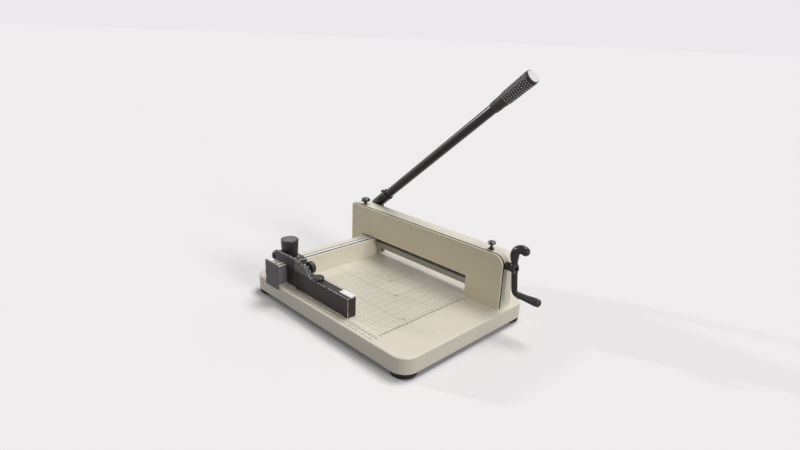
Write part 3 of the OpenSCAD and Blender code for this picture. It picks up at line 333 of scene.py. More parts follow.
def surface(name, rgb, roughness=0.4, mottle=0.08, mottle_scale=14.0, grain=900.0, bump=0.04,
            wear_and_highlight=0.0, worn_and_lit_colour=(0.45, 0.44, 0.42, 1), dust=0.0, coat=0.0, metallic=0.0, spread=0.12,
            gloss=0.5):
    """Painted, moulded or rubber surface with grain, a lighter edge colour that is partly scuffing and partly
    painted edge highlight, and dust.
    """
    material, tree, shader = blank_material(name)
    base = placed(tree, "grain", {"Color": (*rgb, 1), "Mottle": mottle, "Mottle Scale": mottle_scale,
                                  "Grain Scale": grain, "Roughness": roughness, "Spread": spread})
    shown = base.outputs["Color"]
    # Lighter colour on the bevels: scuffed paint, and on the ivory, plate and dark grey finishes also a painted
    # edge highlight.
    if wear_and_highlight:
        rubbed_and_lit = placed(tree, "wear_and_highlight", {"Amount": wear_and_highlight})
        shown = blend_colour(tree, rubbed_and_lit.outputs["Mask"], shown, worn_and_lit_colour)
    if dust:
        specks = placed(tree, "dust", {"Amount": dust})
        shown = blend_colour(tree, specks.outputs["Mask"], shown, (0.55, 0.53, 0.49, 1))
    relief = add(tree, "ShaderNodeBump", {"Height": base.outputs["Height"], "Strength": bump,
                                         "Distance": 0.0004})
    tree.links.new(shown, shader.inputs["Base Color"])
    tree.links.new(base.outputs["Roughness"], shader.inputs["Roughness"])
    tree.links.new(relief.outputs["Normal"], shader.inputs["Normal"])
    shader.inputs["Coat Weight"].default_value = coat
    shader.inputs["Coat Roughness"].default_value = 0.15
    shader.inputs["Metallic"].default_value = metallic
    shader.inputs["Specular IOR Level"].default_value = gloss
    return material


def metal(name, rgb, roughness=0.25, stretch=(40.0, 900.0, 900.0), bump=0.03):
    """Bare metal with streaks drawn out along one axis."""
    material, tree, shader = blank_material(name)
    base = placed(tree, "brush", {"Color": (*rgb, 1), "Stretch": stretch, "Roughness": roughness})
    relief = add(tree, "ShaderNodeBump", {"Height": base.outputs["Height"], "Strength": bump,
                                         "Distance": 0.0002})
    tree.links.new(base.outputs["Color"], shader.inputs["Base Color"])
    tree.links.new(base.outputs["Roughness"], shader.inputs["Roughness"])
    tree.links.new(relief.outputs["Normal"], shader.inputs["Normal"])
    shader.inputs["Metallic"].default_value = 1.0
    return material


MATERIALS = {}


def finish(name):
    """The material for one of the record's slots, or for a mark."""
    if name in MATERIALS:
        return MATERIALS[name]
    look = bpy.context.scene.cutter_finish
    makers = {
        # Partly painted highlight: the pale edge colour on these paints shows scuffs and also the light lines
        # along the table's and plate's edges.
        "ivory_paint": lambda: surface("ivory_paint", look.ivory, 0.38, 0.05, 9.0, 700.0, 0.05,
                                       wear_and_highlight=0.7, worn_and_lit_colour=(0.92, 0.89, 0.80, 1), dust=0.05, coat=0.1),
        "plate_paint": lambda: surface("plate_paint", look.plate, 0.36, 0.10, 7.0, 700.0, 0.05,
                                       wear_and_highlight=0.9, worn_and_lit_colour=(0.88, 0.85, 0.74, 1), coat=0.1),
        "rubber": lambda: surface("foot_rubber", (0.011, 0.008, 0.0075), 0.7, 0.3, 60.0, 1200.0, 0.2,
                                  dust=0.06, gloss=0.3),
        "grip_rubber": lambda: surface("grip_rubber", look.rubber, 0.5, 0.25, 60.0, 1500.0, 0.15),
        "grip_pip": lambda: surface("grip_pip", (0.72, 0.71, 0.72), 0.4, 0.5, 300.0),
        "plug_plastic": lambda: surface("plug_plastic", (0.72, 0.72, 0.73), 0.35, 0.05, 90.0, coat=0.1),
        "black_paint": lambda: surface("black_paint", look.black, 0.30, 0.3, 30.0, 500.0, 0.06,
                                       wear_and_highlight=0.55, worn_and_lit_colour=(0.30, 0.29, 0.28, 1), dust=0.03, coat=0.3,
                                       gloss=0.25),
        "black_plastic": lambda: surface("black_plastic", look.plastic, 0.42, 0.25, 50.0, 1400.0, 0.12,
                                         wear_and_highlight=0.35, worn_and_lit_colour=(0.20, 0.20, 0.20, 1), dust=0.06),
        # Partly painted highlight: the near-white edge colour at full amount stands for the bright highlight
        # lines along the gauge's crest as well as scuffs.
        "cast_grey": lambda: surface("cast_grey", (0.045, 0.042, 0.041), 0.45, 0.3, 22.0, 900.0, 0.12,
                                     wear_and_highlight=1.0, worn_and_lit_colour=(0.85, 0.84, 0.81, 1), dust=0.06, gloss=0.35),
        "cap_grey": lambda: surface("cap_grey", (0.10, 0.097, 0.10), 0.5, 0.2, 30.0, wear_and_highlight=0.5, gloss=0.3),
        # Grey for the strip on the fence's side, and a painted highlight where it covers the gauge's web.
        "grey_and_painted_highlight": lambda: surface("grey_and_painted_highlight", (0.17, 0.168, 0.17), 0.5, 0.5, 45.0, gloss=0.3),
        "knob_top": lambda: surface("knob_top", (0.15, 0.148, 0.15), 0.5, 0.2, 120.0, gloss=0.3),
        # Painted shade: near-black for the strips laid in the shadow gaps round the plate, on the clamp and
        # over the window.
        "painted_shade_black": lambda: surface("painted_shade_black", (0.012, 0.012, 0.012), 0.6, gloss=0.2),
        "pin_black": lambda: surface("pin_black", look.black, 0.25, 0.2, 80.0, coat=0.4,
                                     wear_and_highlight=0.5, worn_and_lit_colour=(0.3, 0.3, 0.3, 1)),
        # Partly painted highlight: the near-white edge colour at full amount stands for the bright highlight
        # lines along the arm's top edges as well as scuffs.
        "arm_grey": lambda: surface("arm_grey", look.arm, 0.45, 0.14, 16.0, 1100.0, 0.14,
                                    wear_and_highlight=1.0, worn_and_lit_colour=(0.80, 0.78, 0.74, 1), dust=0.08,
                                    gloss=0.3),
        "collar_bronze": lambda: metal("collar_bronze", (0.04, 0.033, 0.024), 0.35, (900, 60, 60)),
        "bronze": lambda: metal("bronze", look.bronze, 0.3, (60, 900, 60)),
        "iron": lambda: surface("machined_iron", (0.34, 0.325, 0.29), 0.4, 0.2, 40.0, 1000.0, 0.1,
                                wear_and_highlight=0.5, worn_and_lit_colour=(0.6, 0.6, 0.58, 1), metallic=0.55),
        "gear_steel": lambda: metal("gear_steel", (0.32, 0.30, 0.27), 0.35, (300, 300, 300)),
        "bright_steel": lambda: metal("bright_steel", (0.58, 0.59, 0.60), 0.25, (200, 700, 200)),
        "black_steel": lambda: surface("black_oxide", (0.03, 0.03, 0.032), 0.35, 0.3, 200.0,
                                       metallic=0.8),
        "blade_steel": lambda: metal("ground_steel", (0.74, 0.75, 0.76), 0.14, (900, 900, 30)),
        "scale_steel": lambda: surface("scale_steel", (0.86, 0.865, 0.88), 0.42, 0.03, 40.0, metallic=0.15),
        "stick_plastic": lambda: surface("stick_plastic", (0.90, 0.88, 0.80), 0.5, 0.06, 30.0),
        "ink": lambda: surface("table_ink", look.ink, 0.6, 0.4, 120.0),
        "scale_ink": lambda: surface("scale_ink", (0.02, 0.02, 0.02), 0.5),
        "label": lambda: surface("label_white", (0.90, 0.90, 0.89), 0.45, 0.04, 60.0),
    }
    MATERIALS[name] = makers[name]()
    return MATERIALS[name]


# Mesh helpers

def merged(node):
    """A closed copy of a CAD node's mesh, with its flat faces joined into one each."""
    work = bmesh.new()
    work.from_mesh(NODES[node].data)
    bmesh.ops.remove_doubles(work, verts=work.verts, dist=2e-6)
    bmesh.ops.dissolve_limit(
        work, angle_limit=math.radians(0.5), verts=work.verts, edges=work.edges
    )
    return work


def to_object(name, work):
    """A linked object from a bmesh, which is freed."""
    mesh = bpy.data.meshes.new(name)
    work.to_mesh(mesh)
    work.free()
    made = bpy.data.objects.new(name, mesh)
    bpy.context.scene.collection.objects.link(made)
    return made


def baked(made):
    """The object with its modifiers turned into a plain mesh."""
    graph = bpy.context.evaluated_depsgraph_get()
    mesh = bpy.data.meshes.new_from_object(made.evaluated_get(graph))
    made.modifiers.clear()
    made.data = mesh
    return made


def give(made, material, body):
    """Paint a piece and tie it to its body."""
    made.data.materials.clear()
    made.data.materials.append(finish(material))
    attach(made, body)
    return made


def weigh(work, angle, spared):
    """Mark the sharp edges to be rounded, apart from those in an upright cylinder (x, y, r, top)."""
    weight = work.edges.layers.float.new("bevel_weight_edge")
    for edge in work.edges:
        middle = (edge.verts[0].co + edge.verts[1].co) / 2
        inside = spared and middle.z < spared[3] and \
            math.hypot(middle.x - spared[0], middle.y - spared[1]) < spared[2]
        sharp = edge.is_manifold and edge.calc_face_angle(0.0) > math.radians(angle)
        edge[weight] = float(sharp and not inside)


def dressed(node, width, segments=2, angle=34.0, material=None, spared=None):
    """A CAD node's shape with rounded edges that catch light and take the lighter edge colour; it stands for
    the node.
    """
    work = merged(node)
    weigh(work, angle, spared)
    made = to_object(node + "_finished", work)
    if width:
        rounding = made.modifiers.new("rounded edges", "BEVEL")
        rounding.width = width * MM
        rounding.segments = segments
        rounding.limit_method = "WEIGHT"
        rounding.use_clamp_overlap = False
        rounding.material = 1
        rounding.harden_normals = False
        made.data.materials.append(None)
        made.data.materials.append(None)
    for face in made.data.polygons:
        face.use_smooth = True
    level = made.modifiers.new("even shading", "WEIGHTED_NORMAL")
    level.keep_sharp = True
    level.weight = 80
    made.data.set_sharp_from_angle(angle=math.radians(angle))
    baked(made)
    edge = made.data.attributes.new("edge", "FLOAT", "FACE")
    edge.data.foreach_set("value", [float(face.material_index == 1) for face in made.data.polygons])
    for face in made.data.polygons:
        face.material_index = 0
    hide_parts(node)
    return give(made, material or SLOT_OF[node], BODY_OF[node])


def dress_all(rows):
    """Round the edges of several nodes: (node, width in mm) rows."""
    for node, width in rows:
        dressed(node, width)


def box_into(work, low, high):
    """Add a closed box between two corners, in metres."""
    made = bmesh.ops.create_cube(work, size=1.0)["verts"]
    size = Vector(high) - Vector(low)
    bmesh.ops.scale(work, vec=size, verts=made)
    bmesh.ops.translate(work, vec=(Vector(low) + Vector(high)) / 2, verts=made)


def digits_into(work, words, place, size, across, up, thickness):
    """Add a raised number whose baseline starts at place and runs along across."""
    text = bpy.data.curves.new("digits", "FONT")
    text.body, text.size, text.extrude = words, size, thickness / 2
    text.align_x, text.align_y = "CENTER", "CENTER"
    text.resolution_u = 2
    holder = bpy.data.objects.new("digits", text)
    bpy.context.scene.collection.objects.link(holder)
    graph = bpy.context.evaluated_depsgraph_get()
    mesh = bpy.data.meshes.new_from_object(holder.evaluated_get(graph))
    across, up = Vector(across), Vector(up)
    turn = Matrix((across, up, across.cross(up))).transposed().to_4x4()
    mesh.transform(Matrix.Translation(place) @ turn)
    work.from_mesh(mesh)
    bpy.data.objects.remove(holder)
    bpy.data.curves.remove(text)
    bpy.data.meshes.remove(mesh)


# Geometry Nodes

def node_tree(name, inputs):
    """An empty geometry tree with named inputs; returns the tree and its input node."""
    tree = bpy.data.node_groups.new(name, "GeometryNodeTree")
    tree.is_modifier = True
    for label, kind, default in inputs:
        socket = tree.interface.new_socket(label, in_out="INPUT", socket_type=kind)
        socket.default_value = default
    tree.interface.new_socket("Geometry", in_out="OUTPUT", socket_type="NodeSocketGeometry")
    return tree, tree.nodes.new("NodeGroupInput")


def close_tree(tree, points, shape, turn, material):
    """Put a shape on points, then realize it and set its material."""
    put = add(tree, "GeometryNodeInstanceOnPoints", {"Points": points, "Instance": shape})
    if turn is not None:
        tree.links.new(turn, put.inputs["Rotation"])
    real = add(tree, "GeometryNodeRealizeInstances", {"Geometry": put.outputs[0]})
    paint = add(tree, "GeometryNodeSetMaterial", {"Geometry": real.outputs[0]})
    paint.inputs["Material"].default_value = finish(material)
    out = tree.nodes.new("NodeGroupOutput")
    tree.links.new(paint.outputs[0], out.inputs["Geometry"])


def grown(name, tree, values):
    """An object whose mesh the tree makes from named values."""
    mesh = bpy.data.meshes.new(name)
    made = bpy.data.objects.new(name, mesh)
    bpy.context.scene.collection.objects.link(made)
    grow = made.modifiers.new("grow", "NODES")
    grow.node_group = tree
    sockets = {s.name: s.identifier for s in tree.interface.items_tree if s.in_out == "INPUT"}
    for label, value in values.items():
        grow[sockets[label]] = value
    return baked(made)


def tick_tree(material):
    """Ticks in a straight row: a box repeated along a line."""
    tree, start = node_tree("tick_row_" + material, [
        ("Count", "NodeSocketInt", 10), ("First", "NodeSocketVector", (0, 0, 0)),
        ("Step", "NodeSocketVector", (0.002, 0, 0)), ("Size", "NodeSocketVector", (0.0003, 0.003, 0.0001)),
    ])
    line = tree.nodes.new("GeometryNodeMeshLine")
    line.mode = "OFFSET"
    for label, socket in (("Count", "Count"), ("Start Location", "First"), ("Offset", "Step")):
        tree.links.new(start.outputs[socket], line.inputs[label])
    box = tree.nodes.new("GeometryNodeMeshCube")
    tree.links.new(start.outputs["Size"], box.inputs["Size"])
    close_tree(tree, line.outputs["Mesh"], box.outputs["Mesh"], None, material)
    return tree


def pip_tree():
    """Pips in rings round a tapering grip whose axis is Z."""
    tree, start = node_tree("grip_pips", [
        ("Rows", "NodeSocketInt", 20), ("Around", "NodeSocketInt", 26), ("Pip", "NodeSocketFloat", 0.001),
        ("Length", "NodeSocketFloat", 0.06), ("Low Radius", "NodeSocketFloat", 0.014),
        ("High Radius", "NodeSocketFloat", 0.0155),
    ])

    def sums(kind, *parts):
        return add(tree, "ShaderNodeMath", dict(enumerate(parts)), operation=kind).outputs[0]

    total = sums("MULTIPLY", start.outputs["Rows"], start.outputs["Around"])
    points = tree.nodes.new("GeometryNodePoints")
    tree.links.new(total, points.inputs["Count"])
    index = tree.nodes.new("GeometryNodeInputIndex").outputs[0]
    row = sums("FLOOR", sums("DIVIDE", index, start.outputs["Around"]))
    share = sums("DIVIDE", row, sums("SUBTRACT", start.outputs["Rows"], 1.0))
    shifted = sums("ADD", index, sums("MULTIPLY", row, 0.5))
    turn = sums("MULTIPLY", sums("DIVIDE", shifted, start.outputs["Around"]), math.tau)
    radius = sums("ADD", start.outputs["Low Radius"], sums(
        "MULTIPLY", share, sums("SUBTRACT", start.outputs["High Radius"], start.outputs["Low Radius"])))
    place = add(tree, "ShaderNodeCombineXYZ", {
        "X": sums("MULTIPLY", radius, sums("COSINE", turn)),
        "Y": sums("MULTIPLY", radius, sums("SINE", turn)),
        "Z": sums("MULTIPLY", share, start.outputs["Length"]),
    })
    tree.links.new(place.outputs[0], points.inputs["Position"])
    ball = add(tree, "GeometryNodeMeshUVSphere", {"Segments": 8, "Rings": 5})
    tree.links.new(start.outputs["Pip"], ball.inputs["Radius"])
    close_tree(tree, points.outputs[0], ball.outputs["Mesh"], None, "grip_pip")
    return tree


# Operators

class CUTTER_OT_base(bpy.types.Operator):
    """Round and paint the table, its feet and the cutting stick"""

    bl_idname = "cutter.base"
    bl_label = "Table and feet"

    def execute(self, context):
        dress_all([("base_table", 0.9), ("feet", 0.8), ("cutting_stick", 0.3)])
        return {"FINISHED"}


class CUTTER_OT_gantry(bpy.types.Operator):
    """Round and paint the casting, the front plate and the crank's bearings"""

    bl_idname = "cutter.gantry"
    bl_label = "Gantry"

    def execute(self, context):
        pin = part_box("lever_lock_pin")
        middle = (pin[0] + pin[1]) / 2
        dressed("gantry_casting", 0.8, spared=(middle.x, middle.y, 0.007, 0.158))
        dress_all([("front_plate", 0.45), ("shaft_brackets", 0.5),
                   ("crank_collar", 0.5), ("pin_guide", 0.2), ("side_fence", 0.5)])
        return {"FINISHED"}


class CUTTER_OT_lever(bpy.types.Operator):
    """Round and paint the lever, its hub and its grip"""

    bl_idname = "cutter.lever"
    bl_label = "Lever"

    def execute(self, context):
        dress_all([("lever_hub", 0.8), ("lever_tube", 0.4), ("lever_grip", 1.2), ("grip_plug", 0.6),
                   ("pivot_shaft", 0.4), ("pivot_nut", 0.4)])
        return {"FINISHED"}


class CUTTER_OT_cutting(bpy.types.Operator):
    """Finish the blade, its carrier and the clamp bar"""

    bl_idname = "cutter.cutting"
    bl_label = "Blade and clamp"

    def execute(self, context):
        dress_all([("blade", 0.08), ("blade_carrier", 0.5), ("clamp_bar", 0.5),
                   ("driven_gear_left", 0.1), ("driven_gear_right", 0.1), ("drive_gears", 0.1)])
        return {"FINISHED"}


class CUTTER_OT_crank(bpy.types.Operator):
    """Round and paint the crank and the two lock pins"""

    bl_idname = "cutter.crank"
    bl_label = "Crank and lock pins"

    def execute(self, context):
        dress_all([("crank_arm", 1.2), ("crank_grip", 1.0), ("crank_shaft", 0.3), ("lock_collar", 0.4),
                   ("lever_lock_pin", 0.4), ("crank_lock_pin", 0.4)])
        dressed("grip_axle", 0.3, material="black_plastic")
        return {"FINISHED"}


class CUTTER_OT_gauge(bpy.types.Operator):
    """Round and paint the back gauge and its knobs"""

    bl_idname = "cutter.gauge"
    bl_label = "Back gauge"

    def execute(self, context):
        dressed("gauge_slider", 0.9, material="cast_grey")
        dressed("fence_end_cap", 0.5, material="cap_grey")
        dress_all([("gauge_arm", 0.9), ("gauge_lock_knob", 0.6), ("gauge_wheel", 0.4),
                   ("gauge_stop_knob", 0.4), ("gauge_disc_knob", 0.4), ("scale_strip", 0.15)])
        return {"FINISHED"}


class CUTTER_OT_fittings(bpy.types.Operator):
    """Give every node that keeps its own mesh its paint or metal"""

    bl_idname = "cutter.fittings"
    bl_label = "Screws and inner parts"

    def execute(self, context):
        for name, node in NODES.items():
            node.data.materials.clear()
            node.data.materials.append(finish(SLOT_OF[name]))
        return {"FINISHED"}


def ticks(name, tree, rows, body, material):
    """Rows of ticks joined in one piece: (count, first, step, size) in metres."""
    work = bmesh.new()
    for count, first, step, size in rows:
        row = grown("row", tree, {"Count": count, "First": first, "Step": step, "Size": size})
        work.from_mesh(row.data)
        bpy.data.objects.remove(row)
    return give(to_object(name, work), material, body)


class CUTTER_OT_print(bpy.types.Operator):
    """Print the grid, paper outlines, rulers and numbers on the table"""

    bl_idname = "cutter.print"
    bl_label = "Table print"

    def execute(self, context):
        marks = context.scene.cutter_marks
        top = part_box("base_table")[1].z
        thick, width = marks.ink_height, marks.line_width
        z = top + thick / 2
        tree = TREES["ink"] = tick_tree("ink")
        pitch, step, dash = marks.grid_pitch, marks.dash_pitch, marks.dash_length
        x0, x1, y0, y1 = -0.108, 0.148, -0.150, 0.042
        fine = width * 1.5
        rows = []
        for k in range(round((y1 - y0) / pitch) + 1):
            y = y0 + k * pitch
            start = x0 + max(0.0, y + 0.009) * 1.48
            rows.append((int((x1 - start) / step) + 1, (start, y, z), (step, 0, 0), (dash, fine, thick)))
        for k in range(round((x1 - x0) / (2 * pitch)) + 1):
            x = x0 + 2 * k * pitch
            end = min(y1, (x - x0) / 1.48 - 0.009)
            rows.append((int((end - y0) / step) + 1, (x, y0, z), (0, step, 0), (fine, dash, thick)))
        ticks("table_grid", tree, rows, "base", "ink")
        tick = marks.tick_length
        rx0, rx1, ry = -0.112, 0.160, -0.168
        step = marks.tick_pitch
        number = round((rx1 - rx0) / step) + 1
        side_x, sy0, sy1 = 0.1530, -0.158, 0.088
        tall = round((sy1 - sy0) / step) + 1
        rows = [
            (number, (rx0, ry - tick / 2, z), (step, 0, 0), (width, tick, thick)),
            (number // 5 + 1, (rx0, ry - tick * 0.85, z), (step * 5, 0, 0), (width * 1.4, tick * 1.7, thick)),
            (number // 2, (rx0, ry + 0.003, z), (step * 2, 0, 0), (step, width, thick)),
            (number // 2, (rx0, -0.1790, z), (step * 2, 0, 0), (width, tick * 0.8, thick)),
            (number // 2, (rx0, -0.1805, z), (step * 2, 0, 0), (step, width, thick)),
            (tall, (side_x + tick / 2, sy0, z), (0, step, 0), (tick, width, thick)),
            (tall // 5 + 1, (side_x + tick * 0.85, sy0, z), (0, step * 5, 0), (tick * 1.7, width * 1.4, thick)),
            (tall // 2, (side_x - 0.001, sy0, z), (0, step * 2, 0), (width, step, thick)),
        ]
        ticks("table_rulers", tree, rows, "base", "ink")
        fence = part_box("side_fence")[1].x
        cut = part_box("cutting_stick")
        line = (cut[0].y + cut[1].y) / 2
        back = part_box("front_plate")[0].y - 0.006
        rows, work = [], bmesh.new()
        for size, wide, long in (("A6", 0.148, 0.105), ("A5", 0.210, 0.148), ("A4", 0.297, 0.210)):
            far, near = fence + wide, line - long
            down, across = int((back - near) / 0.004), int((wide - 0.006) / 0.004)
            rows.append((down, (far, near, z), (0, 0.004, 0), (width, 0.0026, thick)))
            rows.append((across, (fence + 0.006, near, z), (0.004, 0, 0), (0.0026, width, thick)))
            digits_into(work, size, (far - 0.007, near + 0.005, z), 0.0075, (1, 0, 0), (0, 1, 0), thick)
        ticks("paper_outlines", tree, rows, "base", "ink")
        give(to_object("paper_names", work), "ink", "base")
        work = bmesh.new()
        size = marks.digit_size
        for k in range(number // 10 + 1):
            digits_into(work, str(k * 2), (rx0 + k * step * 10, ry - 0.0082, z), size,
                        (1, 0, 0), (0, 1, 0), thick)
        for k in range(tall // 10 + 1):
            digits_into(work, str(k * 2), (side_x + 0.0082, sy0 + k * step * 10, z), size,
                        (0, 1, 0), (-1, 0, 0), thick)
        give(to_object("table_numbers", work), "ink", "base")
        return {"FINISHED"}


class CUTTER_OT_scale(bpy.types.Operator):
    """Engrave the fence's steel scale with ticks, numbers, a thin dark line along one edge and a wide dark band
    along the other
    """

    bl_idname = "cutter.scale"
    bl_label = "Fence scale"

    def execute(self, context):
        marks = context.scene.cutter_marks
        low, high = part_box("scale_strip")
        thick = marks.ink_height
        z = high.z + thick / 2
        first, last = low.y + 0.006, high.y - 0.004
        tree = TREES["scale_ink"] = tick_tree("scale_ink")
        number = round((last - first) / 0.001)
        edge = low.x + 0.0008
        length = high.y - low.y - 0.001
        middle = (low.y + high.y) / 2
        rows = [
            (number // 2, (edge + 0.0009, first, z), (0, 0.002, 0), (0.0018, 0.0002, thick)),
            (number // 10 + 1, (edge + 0.0015, first, z), (0, 0.010, 0), (0.0030, 0.0003, thick)),
            (1, (edge - 0.0003, middle, z), (0, 0, 0), (0.0007, length, thick)),
            # A wide dark band along the strip's inner edge.
            (1, (high.x - 0.0030, middle, z), (0, 0, 0), (0.0056, length, thick)),
        ]
        ticks("scale_ticks", tree, rows, "base", "scale_ink")
        work = bmesh.new()
        for k in range(1, number // 10 + 1):
            digits_into(work, str(k), (edge + 0.0057, first + k * 0.010, z), 0.0034, (0, -1, 0),
                        (1, 0, 0), thick)
        give(to_object("scale_numbers", work), "scale_ink", "base")
        return {"FINISHED"}


class CUTTER_OT_index(bpy.types.Operator):
    """Lay a plain pale index plate with ticks and numbers on the gauge's arm"""

    bl_idname = "cutter.index"
    bl_label = "Arm index plate"

    def execute(self, context):
        low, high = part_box("gauge_arm")
        x0, x1 = high.x - 0.038, high.x - 0.002
        y0, y1 = low.y + 0.0085, high.y - 0.0015
        top = low.z + context.scene.cutter_marks.arm_height
        plate = bmesh.new()
        box_into(plate, (x0, y0, top), (x1, y1, top + 0.0003))
        give(to_object("index_plate", plate), "label", "gauge")
        thick = context.scene.cutter_marks.ink_height
        z = top + 0.0003 + thick / 2
        rows = [
            (9, (x0 + 0.002, y1 - 0.002, z), (0.004, 0, 0), (0.0006, 0.0036, thick)),
            (1, ((x0 + x1) / 2, y0 + 0.0022, z), (0, 0, 0), (x1 - x0 - 0.003, 0.0006, thick)),
        ]
        ticks("index_ticks", TREES["scale_ink"], rows, "gauge", "scale_ink")
        numbers = bmesh.new()
        for k in range(4):
            digits_into(numbers, str(k), (x0 + 0.0045 + k * 0.009, (y0 + y1) / 2 - 0.0005, z), 0.0055,
                        (1, 0, 0), (0, 1, 0), thick)
        give(to_object("index_numbers", numbers), "scale_ink", "gauge")
        return {"FINISHED"}


def along_lever(grip, distance):
    """Placement with Z along the raised lever, at a distance from its root."""
    tilt = math.radians(grip.tilt)
    along = Vector((math.cos(tilt), 0, math.sin(tilt)))
    side = Vector((0, 1, 0))
    turn = Matrix((side, along.cross(side), along)).transposed().to_4x4()
    return Matrix.Translation(Vector(grip.root) + along * distance) @ turn


class CUTTER_OT_pips(bpy.types.Operator):
    """Cover the upper half of the lever's grip with rings of pale pips"""

    bl_idname = "cutter.pips"
    bl_label = "Grip pips"

    def execute(self, context):
        grip = context.scene.cutter_grip
        made = grown("grip_pips", pip_tree(), {
            "Rows": grip.rows, "Around": grip.around, "Pip": grip.pip, "Length": grip.reach,
            "Low Radius": grip.low_radius, "High Radius": grip.high_radius,
        })
        made.data.transform(along_lever(grip, grip.start))
        give(made, "grip_pip", "lever")
        return {"FINISHED"}


def disc(name, radius, thick, place, material, body):
    """A thin round disc whose underside lies at place."""
    work = bmesh.new()
    bmesh.ops.create_cone(work, cap_ends=True, segments=64, radius1=radius, radius2=radius - thick,
                          depth=thick, matrix=place @ Matrix.Translation((0, 0, thick / 2)))
    return give(to_object(name, work), material, body)


def slab_into(work, outline, front, back):
    """Add a closed flat slab between two values of y, from an outline in x and z."""
    rings = [[work.verts.new((x, y, z)) for x, z in outline] for y in (front, back)]
    work.faces.new(rings[0])
    work.faces.new(rings[1][::-1])
    for k in range(len(outline)):
        work.faces.new((rings[0][k], rings[1][k], rings[1][k - 1], rings[0][k - 1]))
    bmesh.ops.recalc_face_normals(work, faces=work.faces[:])


def seam_into(work, low, high, radii, span, thick):
    """A thin ribbon over a slab's outline: up its left side, over the top and down the right; it carries the
    painted shade in the gap round the plate.
    """
    left, right = radii
    points = [(low.x, low.z, math.pi)]
    for centre_x, radius, first, last in ((low.x + left, left, 180, 90), (high.x - right, right, 90, 0)):
        for k in range(9):
            turn = math.radians(first + (last - first) * k / 8)
            points.append((centre_x + radius * math.cos(turn), high.z - radius + radius * math.sin(turn), turn))
    points.append((high.x, low.z, 0.0))
    rings = []
    for x, z, turn in points:
        out = (x + thick * math.cos(turn), z + thick * math.sin(turn))
        rings.append([work.verts.new((px, y, pz)) for (px, pz), y in (
            ((x, z), span[0]), (out, span[0]), (out, span[1]), ((x, z), span[1]))])
    for one, two in zip(rings, rings[1:]):
        for k in range(4):
            work.faces.new((one[k], one[(k + 1) % 4], two[(k + 1) % 4], two[k]))
    work.faces.new(rings[0][::-1])
    work.faces.new(rings[-1])
    bmesh.ops.recalc_face_normals(work, faces=work.faces)


class CUTTER_OT_trims(bpy.types.Operator):
    """Add the painted shade: a dark strip round the plate, a dark band on the clamp's face and its step, and a
    dark line over the window; then a grey strip on the fence's side, a painted highlight on the gauge's web,
    the knob's disc and the grip's cap
    """

    bl_idname = "cutter.trims"
    bl_label = "Seams and discs"

    def execute(self, context):
        trims = context.scene.cutter_trims
        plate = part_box("front_plate")
        # Painted shade: a dark strip laid in the gap between plate and casting, where only shade falls.
        seam = bmesh.new()
        seam_into(seam, plate[0], plate[1], (trims.left_radius, trims.right_radius),
                  (plate[1].y, plate[1].y + trims.seam), trims.film)
        give(to_object("plate_painted_shade", seam), "painted_shade_black", "base")
        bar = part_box("clamp_bar")
        # Painted shade: a dark band on the clamp's face just under the plate, where the plate's shadow falls.
        lip = bmesh.new()
        ends = (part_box("side_fence")[1].x + 0.002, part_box("cutting_stick")[1].x - 0.002)
        face = bar[0].z + trims.clamp_face
        box_into(lip, (ends[0], bar[0].y - 0.00015, face - trims.lip), (ends[1], bar[0].y, face - 0.0003))
        # Painted shade: a dark sheet over the recessed face above the step.
        box_into(lip, (ends[0], bar[0].y + trims.clamp_step - 0.00015, face + 0.0003),
                 (ends[1], bar[0].y + trims.clamp_step, face + 0.006))
        give(to_object("clamp_painted_shade", lip), "painted_shade_black", BODY_OF["clamp_bar"])
        # Painted shade: a dark strip on the plate's face over the window, standing in for the shadow gap under
        # its edge.
        over = bmesh.new()
        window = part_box("scale_strip")[1].z + 0.0007
        box_into(over, (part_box("side_fence")[0].x - 0.007, plate[0].y - 0.0002, window),
                 (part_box("cutting_stick")[1].x, plate[0].y, window + trims.edge))
        give(to_object("window_painted_shadow", over), "painted_shade_black", "base")
        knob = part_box("gauge_lock_knob")
        middle = (knob[0] + knob[1]) / 2
        top = Matrix.Translation((middle.x, middle.y, knob[1].z - trims.dish))
        disc("knob_disc", 0.0156, 0.0003, top, "knob_top", BODY_OF["gauge_lock_knob"])
        cap = along_lever(context.scene.cutter_grip, trims.lever)
        disc("grip_cap", 0.0135, 0.0003, cap, "plug_plastic", "lever")
        nose = bmesh.new()
        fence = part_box("side_fence")
        box_into(nose, (fence[1].x, fence[0].y, fence[0].z + 0.0005),
                 (fence[1].x + 0.00025, fence[0].y + trims.nose, fence[1].z - 0.0005))
        give(to_object("fence_nose", nose), "grey_and_painted_highlight", "base")
        # Painted highlight: a grey sheet on the front of the gauge's web stands in for the light caught there.
        arm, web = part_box("gauge_arm")[0], bmesh.new()
        top = arm.z + context.scene.cutter_marks.arm_height
        outline = ((0.0004, 0.0006), (0.0004, 0.0226), (0.0190, 0.0206), (0.0342, 0.0168),
                   (0.0438, 0.0106), (0.0530, 0.0006))
        slab_into(work=web, outline=[(arm.x + x, top + z) for x, z in outline],
                  front=arm.y - trims.film, back=arm.y + trims.film)
        give(to_object("web_painted_highlight", web), "grey_and_painted_highlight", "gauge")
        return {"FINISHED"}


